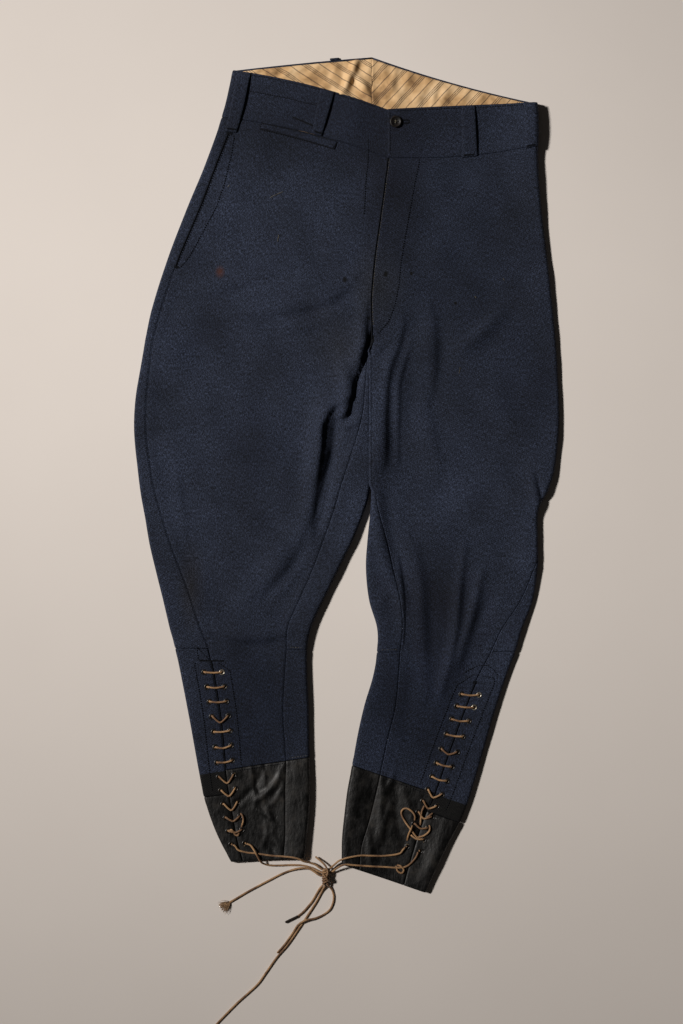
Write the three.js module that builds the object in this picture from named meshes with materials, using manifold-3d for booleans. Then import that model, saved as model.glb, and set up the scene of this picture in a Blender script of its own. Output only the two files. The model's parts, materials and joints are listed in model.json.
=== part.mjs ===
// Riding breeches laid flat on their back: wool twill thighs and calves, polished
// black cuffs, laced side plackets and a striped lining that shows in the back waist.
// Millimetres, +Z up, +Y towards the waist; the wearer's right leg lies at -X.
import * as THREE from 'three';
import { mergeVertices } from 'three/addons/utils/BufferGeometryUtils.js';
import Module from 'manifold-3d';

const wasm = await Module();
wasm.setup();

// ---- driving sizes ---------------------------------------------------------------
const CLOTH = 1.5;              // wall of the twill and of the cuffs
const BAND = 2.0;               // waistband: two layers over canvas
const LINING = 1.0;
const SEAM_GAP = 0.3;           // between two pieces that are sewn together
const SLIT_GAP = 0.6;           // the laced slit from the knee to the hem stands open
const LAYER_RISE = 4.9;         // lower layer's middle to upper layer's middle
const FOLD = LAYER_RISE / 2;    // radius of a pressed side fold
const ROLL = 0.2;               // how much a fold widens for each mm that it stands up
const FADE = 30;                // reach of a raised edge into the panel
const LAP_REACH = 70;           // reach of the fly lap's rise into the front
const DEEPEST = -1.6;           // how far a trough sinks the upper layer
const SKIN = CLOTH / 2;
const LOWER_LAYER = CLOTH / 2;  // height of the lower layer's middle

const LACE = 2.4;               // lace diameter
const EYELET_HOLE = 5.2;        // cloth is punched to this for the eyelet's barrel
const EYELET_ROWS = 13;
const BUTTON = 15;

// ---- the two legs ------------------------------------------------------------------
// One row for each section across the garment. at: place down the leg, used to name a
// section. outer: the side fold. front, back: where the upper and the lower layer end
// towards the middle (the fly line and the centre back seam, and one inner fold below
// the crotch). outseam, inseam: where front and back are sewn, measured in from the
// fold (negative: turned under). wrap: how far the back is turned up round the inner
// fold. liftOut, liftIn: how far the folds stand up. lap: rise of the fly lap.
const COLUMNS = ['at', 'outerX', 'outerY', 'frontX', 'frontY', 'backX', 'backY',
  'outseam', 'inseam', 'wrap', 'liftOut', 'liftIn', 'lap', 'bowFront', 'bowBack'];

const RIGHT_LEG = [
  [0, -142, 505, 51, 456, 32, 522, 12, -12, 0, 1, 0, 0, 6, 1],
  [60, -156, 446, 51, 396, 32, 456, 15, -12, 0, 1, 0, 0, 7, 0],
  [105, -176, 389, 47, 362, 32, 406, 14, -12, 0, 1, 0, 0, 3, 0],
  [156, -200, 331, 41, 318, 32, 349, 16, -12, 0, 1, 0, 0, 0, 0],
  [214, -224, 268, 34, 266, 31, 287, 14, -12, 0, 1, 0, 0, 0, 0],
  [268, -243, 208, 30, 218, 31, 228, 13, -4, 0, 1, 0, 0, 0, 0],
  [305, -251, 171, 31, 181, 31, 183, 11, 0.4, 0.1, 1, 0, 0, 0, 0],
  [324, -254, 153, 31, 161, 31, 161, 11, 3, 0.5, 1, 1, 0, 0, 0],
  [340, -257, 136, 31, 146, 31, 146, 12, 5, 1, 1, 3, 0, 0, 0],
  [380, -264, 93, 31, 108, 31, 108, 15, 8, 1, 1, 5, 0, 0, 0],
  [419, -265.5, 53, 31, 71, 31, 71, 16, 12, 1, 1, 6, 0, 0, 0],
  [467, -261, 6, 31, 21, 31, 21, 17, 27, 1, 1, 5, 0, 0, 0],
  [500, -257, -26, 30, -13, 30, -13, 19, 37, 1, 1, 4, 0, 0, 0],
  [527, -252, -53, 24, -41, 24, -41, 22, 39, 1, 1, 4, 0, 0, 0],
  [565, -246, -88, 8, -82, 8, -82, 27, 37, 1, 1, 4, 0, 0, 0],
  [600, -238, -122, -9, -117, -9, -117, 32, 33, 1, 1, 5, 0, 0, 0],
  [637, -229, -158, -27, -154, -27, -154, 36, 31, 1, 1, 5, 0, 0, 0],
  [671, -221, -192, -43, -189, -43, -189, 39, 30, 1, 1, 5, 0, 0, 0],
  [699, -214, -217, -49, -219, -49, -219, 42, 26, 1, 1, 4, 0, 0, 0],
  [775, -198, -297, -47, -292, -47, -292, 40, 32, 1, 1, 3, 0, 0, 0],
  [844, -184, -374, -46, -353, -46, -353, 34, 30, 1, 1, 3, 0, 0, 0],
  [875, -178, -403, -45, -386, -45, -386, 32, 32, 1, 1, 4, 0, 0, 0],
  [906, -169, -432, -46, -419, -46, -419, 28, 31, 1, 1, 4, 0, 0, 0],
  [935, -158, -458, -49, -450, -49, -450, 22, 28, 1, 1, 4, 0, 0, 0],
  [962, -144, -484, -52, -479, -52, -479, 15, 27, 1, 1, 4, 0, 0, 0],
];
const LEFT_LEG = [
  [0, 238, 464, 51, 456, 32, 522, -12, 0.2, 0, 8, 0, 2.8, 1, -4],
  [60, 239, 411, 51, 396, 32, 456, -12, 0.2, 0, 8, 0, 2.8, -6, 0],
  [105, 240, 380, 47, 362, 32, 406, -12, 0.2, 0, 6, 0, 2.1, -2, 0],
  [156, 244, 328, 41, 318, 32, 349, -12, 0.2, 0, 4, 0, 2.1, 0, 0],
  [214, 251, 270, 34, 266, 31, 287, -12, 0.2, 0, 3, 0, 2.1, 0, 0],
  [268, 257, 214, 30, 218, 31, 228, -12, 0.2, 0, 2, 0, 2.1, 0, 0],
  [305, 261, 174, 31, 181, 31, 183, -12, 0.4, 0.1, 2, 0, 1.9, 0, 0],
  [324, 263, 149, 31, 161, 31, 161, -12, 3, 0.5, 2, 1, 0, 0, 0],
  [340, 264, 129, 31, 146, 31, 146, -12, 5, 1, 2, 3, 0, 0, 0],
  [380, 265.7, 93, 31, 108, 31, 108, -12, 5, 1, 2, 4, 0, 0, 0],
  [419, 265.5, 56, 31, 71, 31, 71, -12, 5, 1, 2, 5, 0, 0, 0],
  [467, 260, 6, 31, 21, 31, 21, -12, 5, 1, 3, 5, 0, 0, 0],
  [500, 251, -22, 31, -13, 31, -13, -12, 5, 1, 6, 5, 0, 0, 0],
  [527, 240, -44, 30, -41, 30, -41, -12, 9, 1, 5, 5, 0, 0, 0],
  [565, 239, -82, 26, -82, 26, -82, -6, 24, 1, 3, 4, 0, 0, 0],
  [600, 239, -114, 24, -117, 24, -117, 4, 34, 1, 3, 3, 0, 0, 0],
  [637, 233, -157, 28, -157, 28, -157, 16, 39, 1, 2, 3, 0, 0, 0],
  [671, 220, -192, 38, -192, 38, -192, 26, 32, 1, 2, 3, 0, 0, 0],
  [699, 211, -221, 38, -222, 38, -222, 31, 29, 1, 2, 3, 0, 0, 0],
  [730, 199, -254, 33, -252, 33, -252, 36, 32, 1, 2, 3, 0, 0, 0],
  [775, 183, -304, 22, -289, 22, -289, 39, 39, 1, 2, 3, 0, 0, 0],
  [810, 169, -353, 14, -324, 14, -324, 42, 38, 1, 2, 3, 0, 0, 0],
  [855, 151, -412, 7, -363, 7, -363, 44, 37, 1, 2, 3, 0, 0, 0],
  [886, 138, -442, 1, -394, 1, -394, 44, 36, 1, 2, 3, 0, 0, 0],
  [916, 124, -469, -3, -426, -3, -426, 39, 32, 1, 2, 3, 0, 0, 0],
  [945, 111, -497, -6, -457, -6, -457, 35, 26, 1, 2, 3, 0, 0, 0],
  [972, 99, -522.5, -6, -487, -6, -487, 30, 23, 1, 2, 3, 0, 0, 0],
];
const RIGHT = { name: 'right', side: 1, rows: RIGHT_LEG, wraps: false,
  knee: 699, cuffFront: 844, cuffOuter: 875, hem: 962, firstEyelet: 728, lastEyelet: 940 };
const LEFT = { name: 'left', side: -1, rows: LEFT_LEG, wraps: true,
  knee: 699, cuffFront: 855, cuffOuter: 878, hem: 972, firstEyelet: 751, lastEyelet: 927 };
const WAIST_SEAM = 60;

// Creases of the upper layer. From (x1, y1) to (x2, y2), bowed sideways, width to
// either side, height above (ridge) or below (trough) the layer.
const FOLD_COLUMNS = ['x1', 'y1', 'x2', 'y2', 'bow', 'width', 'height'];
const CREASES = [
  // crotch and inner thighs
  [10, 143, -8, 6, 0, 34, 6],
  [-4, 130, -1, 84, 3, 9, 6],
  [25, 152, 3, 78, -6, 8, -9],
  [-12, 77, -37, -57, 4, 7, -7],
  [-27, 82, -52, -60, 3, 13, 3],
  [-27, 63, 7, 83, 2, 6, 3],
  [57, 154, 42, 18, 8, 13, 5],
  [62, 118, 57, 37, -2, 9, -4],
  [36, -27, 69, -160, -8, 8, 3],
  [52, -30, 84, -150, -8, 9, -2],
  // right thigh
  [-166, 223, -76, 251, 3, 13, -1.5],
  [-96, 197, 2, 223, -4, 11, -1.8],
  [-110, 232, -40, 240, 3, 14, 1.5],
  [-58, -99, -99, -148, 3, 9, -2],
  [-44, -92, -86, -146, 3, 9, 2],
  [-166, -206, -80, -206, -4, 11, -1.4],
  // left thigh
  [117, 199, 111, 121, 3, 13, -1.8],
  [188, 197, 149, 163, 3, 11, 3],
  [137, -141, 132, -231, 3, 10, 3],
  [161, -134, 122, -258, 8, 10, 3],
  // the fronts ride over the pleat in the back's lining
  [10, 455, 2, 430, 0, 20, 3],
];
const LINING_PLEATS = [
  [13, 520, -7, 477, 2, 6, 4],
  [14, 492, 30, 468, 0, 6, 3],
];

// ---- shape of the cloth --------------------------------------------------------------
const clamp = (value, low, high) => Math.min(high, Math.max(low, value));
const ease = (t) => clamp(t, 0, 1) ** 2 * (3 - 2 * clamp(t, 0, 1));
const mix = (a, b, t) => a + (b - a) * t;

// A section between two rows of a leg's table: cubic through the rows, with each
// row's slope taken from its two neighbours.
function section(leg, at) {
  const rows = leg.rows;
  let i = 0;
  while (i < rows.length - 2 && at > rows[i + 1][0]) i += 1;
  const [p, q] = [rows[i], rows[i + 1]];
  const before = rows[Math.max(i - 1, 0)];
  const after = rows[Math.min(i + 2, rows.length - 1)];
  const span = q[0] - p[0];
  const t = (at - p[0]) / span;
  const values = {};
  COLUMNS.forEach((column, k) => {
    const slopeP = (q[k] - before[k]) / (q[0] - before[0]) * span;
    const slopeQ = (after[k] - p[k]) / (after[0] - p[0]) * span;
    values[column] = (2 * t ** 3 - 3 * t ** 2 + 1) * p[k] + (t ** 3 - 2 * t ** 2 + t) * slopeP
      + (3 * t ** 2 - 2 * t ** 3) * q[k] + (t ** 3 - t ** 2) * slopeQ;
  });
  values.wrap = clamp(values.wrap, 0, 1);
  return values;
}

// Height that a list of creases adds at (x, y): a bell across each crease's bowed
// line, strongest at its middle and fading past its ends.
function creaseHeight(creases, x, y) {
  let height = 0;
  for (const crease of creases) {
    const c = Object.fromEntries(FOLD_COLUMNS.map((column, k) => [column, crease[k]]));
    const length = Math.hypot(c.x2 - c.x1, c.y2 - c.y1);
    const [dx, dy] = [(c.x2 - c.x1) / length, (c.y2 - c.y1) / length];
    const along = ((x - c.x1) * dx + (y - c.y1) * dy) / length;
    const t = clamp(along, 0, 1);
    const across = (x - c.x1) * -dy + (y - c.y1) * dx - c.bow * 4 * t * (1 - t);
    const past = Math.abs(along - t) * length / (1.5 * c.width);
    const middle = 0.6 + 0.4 * Math.sin(Math.PI * t);
    height += c.height * middle * Math.exp(-((across / c.width) ** 2) - past ** 2);
  }
  return height;
}

// A point on the middle of the wall. place: distance in from the side fold (or from
// the middle edge, fromInner), height z on the pressed shape, and top, which is 0 on
// the lower layer and 1 on the upper one.
function clothPoint(row, place) {
  const endX = mix(row.backX, row.frontX, place.top);
  const endY = mix(row.backY, row.frontY, place.top);
  const width = Math.hypot(endX - row.outerX, endY - row.outerY);
  const t = place.fromInner ? 1 - place.distance / width : place.distance / width;
  const bow = mix(row.bowBack, row.bowFront, place.top) * 4 * t * (1 - t);
  const x = mix(row.outerX, endX, t);
  const y = mix(row.outerY, endY, t) + bow;
  const lift = row.liftOut * Math.exp(-((t * width / FADE) ** 2))
    + row.liftIn * Math.exp(-(((1 - t) * width / FADE) ** 2))
    + creaseHeight(CREASES, x, y);
  const lapRise = row.lap * (1 - ease((1 - t) * width / LAP_REACH));
  const z = place.z + place.top * (Math.max(lift, DEEPEST) + lapRise);
  return new THREE.Vector3(x, y, z);
}

// Half of the way round the side fold, and a place on it: s runs from the fold's
// outermost line, positive over the top and negative underneath.
const foldRadius = (lift) => FOLD + ROLL * Math.max(lift, 0);
const halfTurn = (radius) => Math.PI / 4 * (radius + FOLD);
function sidePlace(row, s) {
  const radius = foldRadius(row.liftOut);
  const half = halfTurn(radius);
  const angle = clamp(s / half, -1, 1) * Math.PI / 2;
  return {
    distance: SKIN + radius * (1 - Math.cos(angle)) + Math.max(Math.abs(s) - half, 0),
    z: LOWER_LAYER + FOLD * (1 + Math.sin(angle)),
    top: (1 + Math.sin(angle)) / 2,
  };
}

// A place on the back where it turns up round the inner fold: q runs from the last
// flat line of the lower layer, through the turn and on along the upper layer.
function innerPlace(row, q) {
  const turn = Math.max(row.wrap, 0.02) * Math.PI;
  const arc = Math.PI * FOLD;
  const radius = arc / turn;
  const stretch = foldRadius(row.liftIn) / FOLD;
  const angle = Math.min(q, arc) / radius;
  const past = Math.max(q - arc, 0);
  const reach = radius * Math.sin(angle) * stretch + past * Math.cos(turn);
  const rise = radius * (1 - Math.cos(angle)) + past * Math.sin(turn);
  const stripEnd = radius * Math.sin(turn) * stretch + stripLength(row) * Math.cos(turn);
  const furthest = turn > Math.PI / 2 ? radius * stretch : stripEnd;
  return {
    fromInner: true,
    distance: SEAM_GAP / 2 + SKIN * Math.sin(Math.min(turn, Math.PI / 2)) + furthest - reach,
    z: LOWER_LAYER + rise,
    top: clamp(rise / LAYER_RISE, 0, 1),
  };
}
const stripLength = (row) => Math.max(
  row.inseam - SEAM_GAP / 2 - SKIN - foldRadius(row.liftIn), 0.4);

// The wall's middle and its outward direction at a place on a section. placeOf gives the
// place on any section, moved along it by step.
const NUDGE = 0.4;
function clothSpot(leg, at, placeOf, facing) {
  const point = (where, step) => {
    const row = section(leg, where);
    return clothPoint(row, placeOf(row, step));
  };
  const down = point(at + 1, 0).sub(point(at - 1, 0));
  const across = point(at, NUDGE).sub(point(at, -NUDGE));
  return { point: point(at, 0), normal: down.cross(across).normalize().multiplyScalar(facing) };
}

// A closed wall through a grid of spots: outwards by outer, inwards by inner, with a rim
// all round. facing is 1 where rows cross columns towards the outside, and -1 otherwise.
function wall(grid, facing, outer, inner) {
  const rows = grid.length;
  const columns = grid[0].length;
  const vertices = [];
  const faces = [];
  for (const offset of [outer, -inner]) {
    for (const { point, normal } of grid.flat()) {
      vertices.push(...point.clone().addScaledVector(normal, offset).toArray());
    }
  }
  const quad = (a, b, c, d) => faces.push(...(facing > 0 ? [a, b, c, a, c, d] : [a, c, b, a, d, c]));
  const id = (layer, i, j) => layer * rows * columns + i * columns + j;
  for (let i = 0; i < rows - 1; i += 1) {
    for (let j = 0; j < columns - 1; j += 1) {
      quad(id(0, i, j), id(0, i + 1, j), id(0, i + 1, j + 1), id(0, i, j + 1));
      quad(id(1, i, j), id(1, i, j + 1), id(1, i + 1, j + 1), id(1, i + 1, j));
    }
    quad(id(0, i, 0), id(1, i, 0), id(1, i + 1, 0), id(0, i + 1, 0));
    const last = columns - 1;
    quad(id(0, i, last), id(0, i + 1, last), id(1, i + 1, last), id(1, i, last));
  }
  for (let j = 0; j < columns - 1; j += 1) {
    quad(id(0, 0, j), id(0, 0, j + 1), id(1, 0, j + 1), id(1, 0, j));
    const last = rows - 1;
    quad(id(0, last, j), id(1, last, j), id(1, last, j + 1), id(0, last, j + 1));
  }
  const geometry = new THREE.BufferGeometry();
  geometry.setAttribute('position', new THREE.Float32BufferAttribute(vertices, 3));
  geometry.setIndex(faces);
  return geometry;
}

// ---- booleans --------------------------------------------------------------------------
function solid(geometry) {
  const bare = geometry.clone();
  bare.deleteAttribute('normal');
  bare.deleteAttribute('uv');
  const merged = mergeVertices(bare, 1e-4);
  return new wasm.Manifold(new wasm.Mesh({
    numProp: 3,
    vertProperties: new Float32Array(merged.attributes.position.array),
    triVerts: new Uint32Array(merged.index.array),
  }));
}
function geometryOf(manifold) {
  const mesh = manifold.getMesh();
  const geometry = new THREE.BufferGeometry();
  geometry.setAttribute('position', new THREE.BufferAttribute(mesh.vertProperties, 3));
  geometry.setIndex(new THREE.BufferAttribute(mesh.triVerts, 1));
  return geometry;
}
const cut = (geometry, tools) => geometryOf(
  tools.reduce((left, tool) => left.subtract(tool), solid(geometry)));

// ---- materials ---------------------------------------------------------------------------
const finish = (color, roughness, metalness = 0) => (
  new THREE.MeshStandardMaterial({ color, roughness, metalness }));
const TWILL = finish(0x2b2f3b, 0.85);
const CUFF_LEATHER = finish(0x14110f, 0.35);
const STRIPED_LINING = finish(0xd2ad84, 0.8);
const HORN = finish(0x1b1614, 0.4);
const WAXED_LACE = finish(0x7a5638, 0.6);
const AGLET_TIN = finish(0x2a211b, 0.45, 0.6);

const breeches = new THREE.Group();
function add(name, geometry, material) {
  const mesh = new THREE.Mesh(geometry, material);
  mesh.name = name;
  breeches.add(mesh);
  return mesh;
}

// ---- panels ------------------------------------------------------------------------------
// Places across one section, each moved along it by step. The front runs from the
// outseam to the fly or inseam; the back runs from the outseam round the side fold,
// under, and up round the inner fold, or only to the centre back seam.
const TURN_STEPS = 4;           // steps round a fold
const STRIP_STEPS = 2;
const UNDER_STEPS = 3;
const LEAST_STEP = 1.2;         // columns that have no turn to make stay this far apart
const upper = (distance) => ({ distance, z: LOWER_LAYER + LAYER_RISE, top: 1 });
const lower = (distance) => ({ distance, z: LOWER_LAYER, top: 0 });
function frontPlaces(leg, row, columns, crowd, step) {
  const half = halfTurn(foldRadius(row.liftOut));
  const start = row.outseam + SEAM_GAP / 2;
  const along = [start];
  for (let k = 1; leg.wraps && k <= TURN_STEPS + 1; k += 1) {
    along.push(Math.max(-half + (k - 1) * 2 * half / TURN_STEPS, start + k * LEAST_STEP));
  }
  const places = along.map((s) => sidePlace(row, s + step));
  const width = Math.hypot(row.frontX - row.outerX, row.frontY - row.outerY);
  const first = sidePlace(row, along[along.length - 1]).distance;
  const last = width - row.inseam - SEAM_GAP / 2;
  for (let k = 1; k <= columns; k += 1) {
    places.push(upper(mix(first, last, 1 - (1 - k / columns) ** crowd) + step));
  }
  return places;
}
function backPlaces(row, seamGap, open, step) {
  const half = halfTurn(foldRadius(row.liftOut));
  const start = row.outseam + SEAM_GAP / 2 - seamGap;
  const along = [];
  for (let k = 0; k <= STRIP_STEPS + TURN_STEPS; k += 1) {
    const target = k <= STRIP_STEPS ? mix(start, half, k / STRIP_STEPS)
      : half - (k - STRIP_STEPS) * 2 * half / TURN_STEPS;
    along.push(Math.min(target, start - k * LEAST_STEP));
  }
  const places = along.map((s) => sidePlace(row, s - step));
  const width = Math.hypot(row.backX - row.outerX, row.backY - row.outerY);
  const first = sidePlace(row, along[along.length - 1]).distance;
  const last = width - (open ? SEAM_GAP / 2 : innerPlace(row, 0).distance);
  for (let k = 1; k <= UNDER_STEPS; k += 1) {
    places.push(lower(mix(first, last, k / UNDER_STEPS) + step));
  }
  for (let k = 1; !open && k <= TURN_STEPS; k += 1) {
    places.push(innerPlace(row, k / TURN_STEPS * Math.PI * FOLD + step));
  }
  for (let k = 1; !open && k <= STRIP_STEPS; k += 1) {
    places.push(innerPlace(row, Math.PI * FOLD + stripLength(row) * k / STRIP_STEPS + step));
  }
  return places;
}

// Rows of a panel's grid between two seams that cross the leg. from and to give the
// section for a part u of the way across.
const level = (at) => () => at;
const seamStart = (at) => level(at + SEAM_GAP / 2);
const seamEnd = (at) => level(at - SEAM_GAP / 2);
function rowsBetween(from, to, steps) {
  return Array.from({ length: steps + 1 }, (_, i) => (u) => mix(from(u), to(u), i / steps));
}
function panelGrid(leg, rows, placesOf, facing) {
  const columns = placesOf(section(leg, rows[0](0)), 0).length;
  return rows.map((atOf) => Array.from({ length: columns }, (_, j) => {
    const placeOf = (row, step) => placesOf(row, step)[j];
    return clothSpot(leg, atOf(j / (columns - 1)), placeOf, facing);
  }));
}

// A spot on the upper layer, s in from the side fold.
function topSpot(leg, at, s) {
  const placeOf = (row, step) => sidePlace(row, s + step);
  const spot = clothSpot(leg, at, placeOf, leg.side);
  const next = clothPoint(section(leg, at), sidePlace(section(leg, at), s + NUDGE));
  spot.inwards = next.sub(spot.point).normalize();
  spot.down = spot.inwards.clone().cross(spot.normal).multiplyScalar(leg.side).normalize();
  return spot;
}

// Eyelets: two columns, one on each side of the placket's slit.
const EYELET_OFFSET_TOP = 11;      // slit to eyelet, at the first and the last row
const EYELET_OFFSET_HEM = 8.5;
function eyelets(leg) {
  return Array.from({ length: EYELET_ROWS }, (_, k) => {
    const t = k / (EYELET_ROWS - 1);
    const at = mix(leg.firstEyelet, leg.lastEyelet, t);
    const offset = mix(EYELET_OFFSET_TOP, EYELET_OFFSET_HEM, t);
    const slit = section(leg, at).outseam;
    return [topSpot(leg, at, slit - offset), topSpot(leg, at, slit + offset)];
  });
}
const PUNCH_SIDES = 6;
const PUNCH_LENGTH = 4;
function punch({ point, normal }) {
  const radius = EYELET_HOLE / 2;
  const shape = new THREE.CylinderGeometry(radius, radius, PUNCH_LENGTH, PUNCH_SIDES);
  shape.applyQuaternion(new THREE.Quaternion().setFromUnitVectors(THREE.Object3D.DEFAULT_UP, normal));
  shape.translate(...point.toArray());
  return solid(shape);
}

const THIGH_ROWS = 22;
const CALF_ROWS = 6;
const CUFF_ROWS = 5;
const BAND_ROWS = 3;
function legPanels(leg) {
  const { name, side } = leg;
  const holes = eyelets(leg).flat().map(punch);
  const front = (columns, crowd) => (row, step) => frontPlaces(leg, row, columns, crowd, step);
  const back = (row, step) => backPlaces(row, SEAM_GAP, false, step);
  const backAtSlit = (row, step) => backPlaces(row, SLIT_GAP, false, step);
  const backAtWaist = (row, step) => backPlaces(row, SEAM_GAP, true, step);
  // the cuff starts lower on the strip behind the placket than everywhere else
  const cuffTop = (gap) => (u) => mix(leg.cuffOuter, leg.cuffFront, ease((u - 0.42) / 0.22)) + gap;

  const frontRows = [
    ...rowsBetween(seamStart(WAIST_SEAM), level(leg.knee), THIGH_ROWS),
    ...rowsBetween(level(leg.knee), seamEnd(leg.cuffFront), CALF_ROWS).slice(1)];
  const frontGrid = panelGrid(leg, frontRows, front(leg.wraps ? 12 : 14, 1.3), side);
  add(`front_${name}`, cut(wall(frontGrid, side, SKIN, SKIN), holes), TWILL);

  const backRows = rowsBetween(seamStart(WAIST_SEAM), seamEnd(leg.knee), THIGH_ROWS);
  add(`back_${name}`, wall(panelGrid(leg, backRows, back, -side), -side, SKIN, SKIN), TWILL);

  const calfRows = rowsBetween(seamStart(leg.knee), cuffTop(-SEAM_GAP / 2), CALF_ROWS);
  const calf = wall(panelGrid(leg, calfRows, backAtSlit, -side), -side, SKIN, SKIN);
  add(`back_calf_${name}`, cut(calf, holes), TWILL);

  const cuffFrontRows = rowsBetween(seamStart(leg.cuffFront), level(leg.hem), CUFF_ROWS);
  const cuffFront = wall(panelGrid(leg, cuffFrontRows, front(6, 1), side), side, SKIN, SKIN);
  add(`cuff_front_${name}`, cut(cuffFront, holes), CUFF_LEATHER);

  const cuffBackRows = rowsBetween(cuffTop(SEAM_GAP / 2), level(leg.hem), CUFF_ROWS);
  const cuffBack = wall(panelGrid(leg, cuffBackRows, backAtSlit, -side), -side, SKIN, SKIN);
  add(`cuff_back_${name}`, cut(cuffBack, holes), CUFF_LEATHER);

  const bandRows = rowsBetween(level(0), seamEnd(WAIST_SEAM), BAND_ROWS);
  const bandFront = panelGrid(leg, bandRows, front(10, 1), side);
  add(`waistband_front_${name}`, wall(bandFront, side, SKIN, BAND - SKIN), TWILL);
  const bandBack = panelGrid(leg, bandRows, backAtWaist, -side);
  add(`waistband_back_${name}`, wall(bandBack, -side, SKIN, BAND - SKIN), TWILL);
}

// ---- lining: lies on the inside of the back, from the waist edge down ----------------
const LINING_TOP = 2.5;           // below the waistband's edge
const LINING_DEPTH_SIDE = 30;
const LINING_DEPTH_CENTRE = 84;
const LINING_SIDE_GAP = 12;
function liningPanel(leg) {
  const height = BAND + SEAM_GAP + LINING / 2;
  const [rows, columns] = [6, 10];
  const point = (at, u) => {
    const row = section(leg, at);
    const width = Math.hypot(row.backX - row.outerX, row.backY - row.outerY);
    const distance = mix(LINING_SIDE_GAP, width - SEAM_GAP / 2, u);
    const spot = clothPoint(row, { distance, z: height, top: 0 });
    spot.z += creaseHeight(LINING_PLEATS, spot.x, spot.y);
    return spot;
  };
  const grid = [];
  for (let i = 0; i <= rows; i += 1) {
    grid.push([]);
    for (let j = 0; j <= columns; j += 1) {
      const u = (j / columns) ** 0.7;
      const depth = mix(LINING_DEPTH_SIDE, LINING_DEPTH_CENTRE, ease(1.6 * u));
      const at = mix(LINING_TOP, depth, i / rows);
      const down = point(at + 1, u).sub(point(at - 1, u));
      const normal = down.cross(point(at, u + 0.002).sub(point(at, u - 0.002))).normalize();
      grid[i].push({ point: point(at, u), normal: normal.multiplyScalar(leg.side) });
    }
  }
  add(`lining_back_${leg.name}`, wall(grid, leg.side, LINING / 2, LINING / 2), STRIPED_LINING);
}

// ---- small pieces that lie on the panels -----------------------------------------------
// A strip on the upper layer between two sections and two lines down the leg, lifted
// clear of the panel; arch is how far its middle stands off.
function onPanel(leg, steps, from, to, near, far, thickness, arch) {
  const grid = [];
  for (let i = 0; i <= steps[0]; i += 1) {
    const t = i / steps[0];
    grid.push([]);
    for (let j = 0; j <= steps[1]; j += 1) {
      const u = j / steps[1];
      const spot = topSpot(leg, mix(from(u), to(u), t), mix(mix(...near, t), mix(...far, t), u));
      const clear = SKIN + SEAM_GAP + thickness / 2 + arch * Math.sin(Math.PI * t) ** 0.7;
      grid[i].push({ point: spot.point.addScaledVector(spot.normal, clear), normal: spot.normal });
    }
  }
  return wall(grid, leg.side, thickness / 2, thickness / 2);
}
const LOOP_THICKNESS = 1.5;
const LOOP_ARCH = 1.6;
// name, leg, steps along and across, how far in from the side fold the loop's two edges
// lie, at its top and at its foot, and the section where it ends
const BELT_LOOPS = [
  ['belt_loop_right_side', RIGHT, [5, 2], [6, 10], [24, 25], 74],
  ['belt_loop_right_front', RIGHT, [5, 2], [114, 116], [132, 129], 60],
  ['belt_loop_left_front', LEFT, [5, 2], [78, 76], [95, 95], 62],
  ['belt_loop_left_side', LEFT, [5, 6], [2.5, 2.5], [16, 16], 62],
];
const BACK_LOOP = { width: 11, depth: 2.6, height: 3.2, x: -15, y: 519.6, turn: 0.09 };
function beltLoops() {
  for (const [name, leg, steps, near, far, end] of BELT_LOOPS) {
    const strip = onPanel(leg, steps, level(0.5), level(end), near, far, LOOP_THICKNESS, LOOP_ARCH);
    add(name, strip, TWILL);
  }
  // the back loop's folded top, which shows past the edge of the waistband
  const { width, depth, height, x, y, turn } = BACK_LOOP;
  const tip = new THREE.BoxGeometry(width, depth, height);
  add('belt_loop_back', tip.rotateZ(turn).translate(x, y, height / 2), TWILL);
}

const WELT_THICKNESS = 1.2;
function watchPocketWelt() {
  const welt = onPanel(RIGHT, [1, 8], (u) => mix(61, 62, u), (u) => mix(66, 71, u),
    [53, 53], [150, 148], WELT_THICKNESS, 0);
  add('watch_pocket_welt', welt, TWILL);
}

const BUTTON_FRAME = { at: 16, fromEdge: 10 };
function waistButton() {
  const r = BUTTON / 2;
  const profile = [[0, 0], [r - 1.5, 0], [r, 1.2], [r - 0.4, 2.4], [r - 1.8, 2.6], [r - 2.8, 1.8],
    [0, 1.8]].map(([x, y]) => new THREE.Vector2(x, y));
  const disc = new THREE.LatheGeometry(profile, 16);
  const holes = [45, 135, 225, 315].map((degrees) => {
    const hole = new THREE.CylinderGeometry(0.9, 0.9, 6, 6);
    const angle = degrees * Math.PI / 180;
    hole.translate(1.9 * Math.cos(angle), 1, 1.9 * Math.sin(angle));
    return solid(hole);
  });
  const width = section(LEFT, BUTTON_FRAME.at).outerX - section(LEFT, BUTTON_FRAME.at).frontX;
  const frame = topSpot(LEFT, BUTTON_FRAME.at, width - BUTTON_FRAME.fromEdge);
  const button = cut(disc, holes);
  const turn = new THREE.Quaternion().setFromUnitVectors(new THREE.Vector3(0, 1, 0), frame.normal);
  button.applyQuaternion(turn);
  button.translate(...frame.point.addScaledVector(frame.normal, SKIN + 2 * SEAM_GAP).toArray());
  add('waist_button', button, HORN);
}

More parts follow.
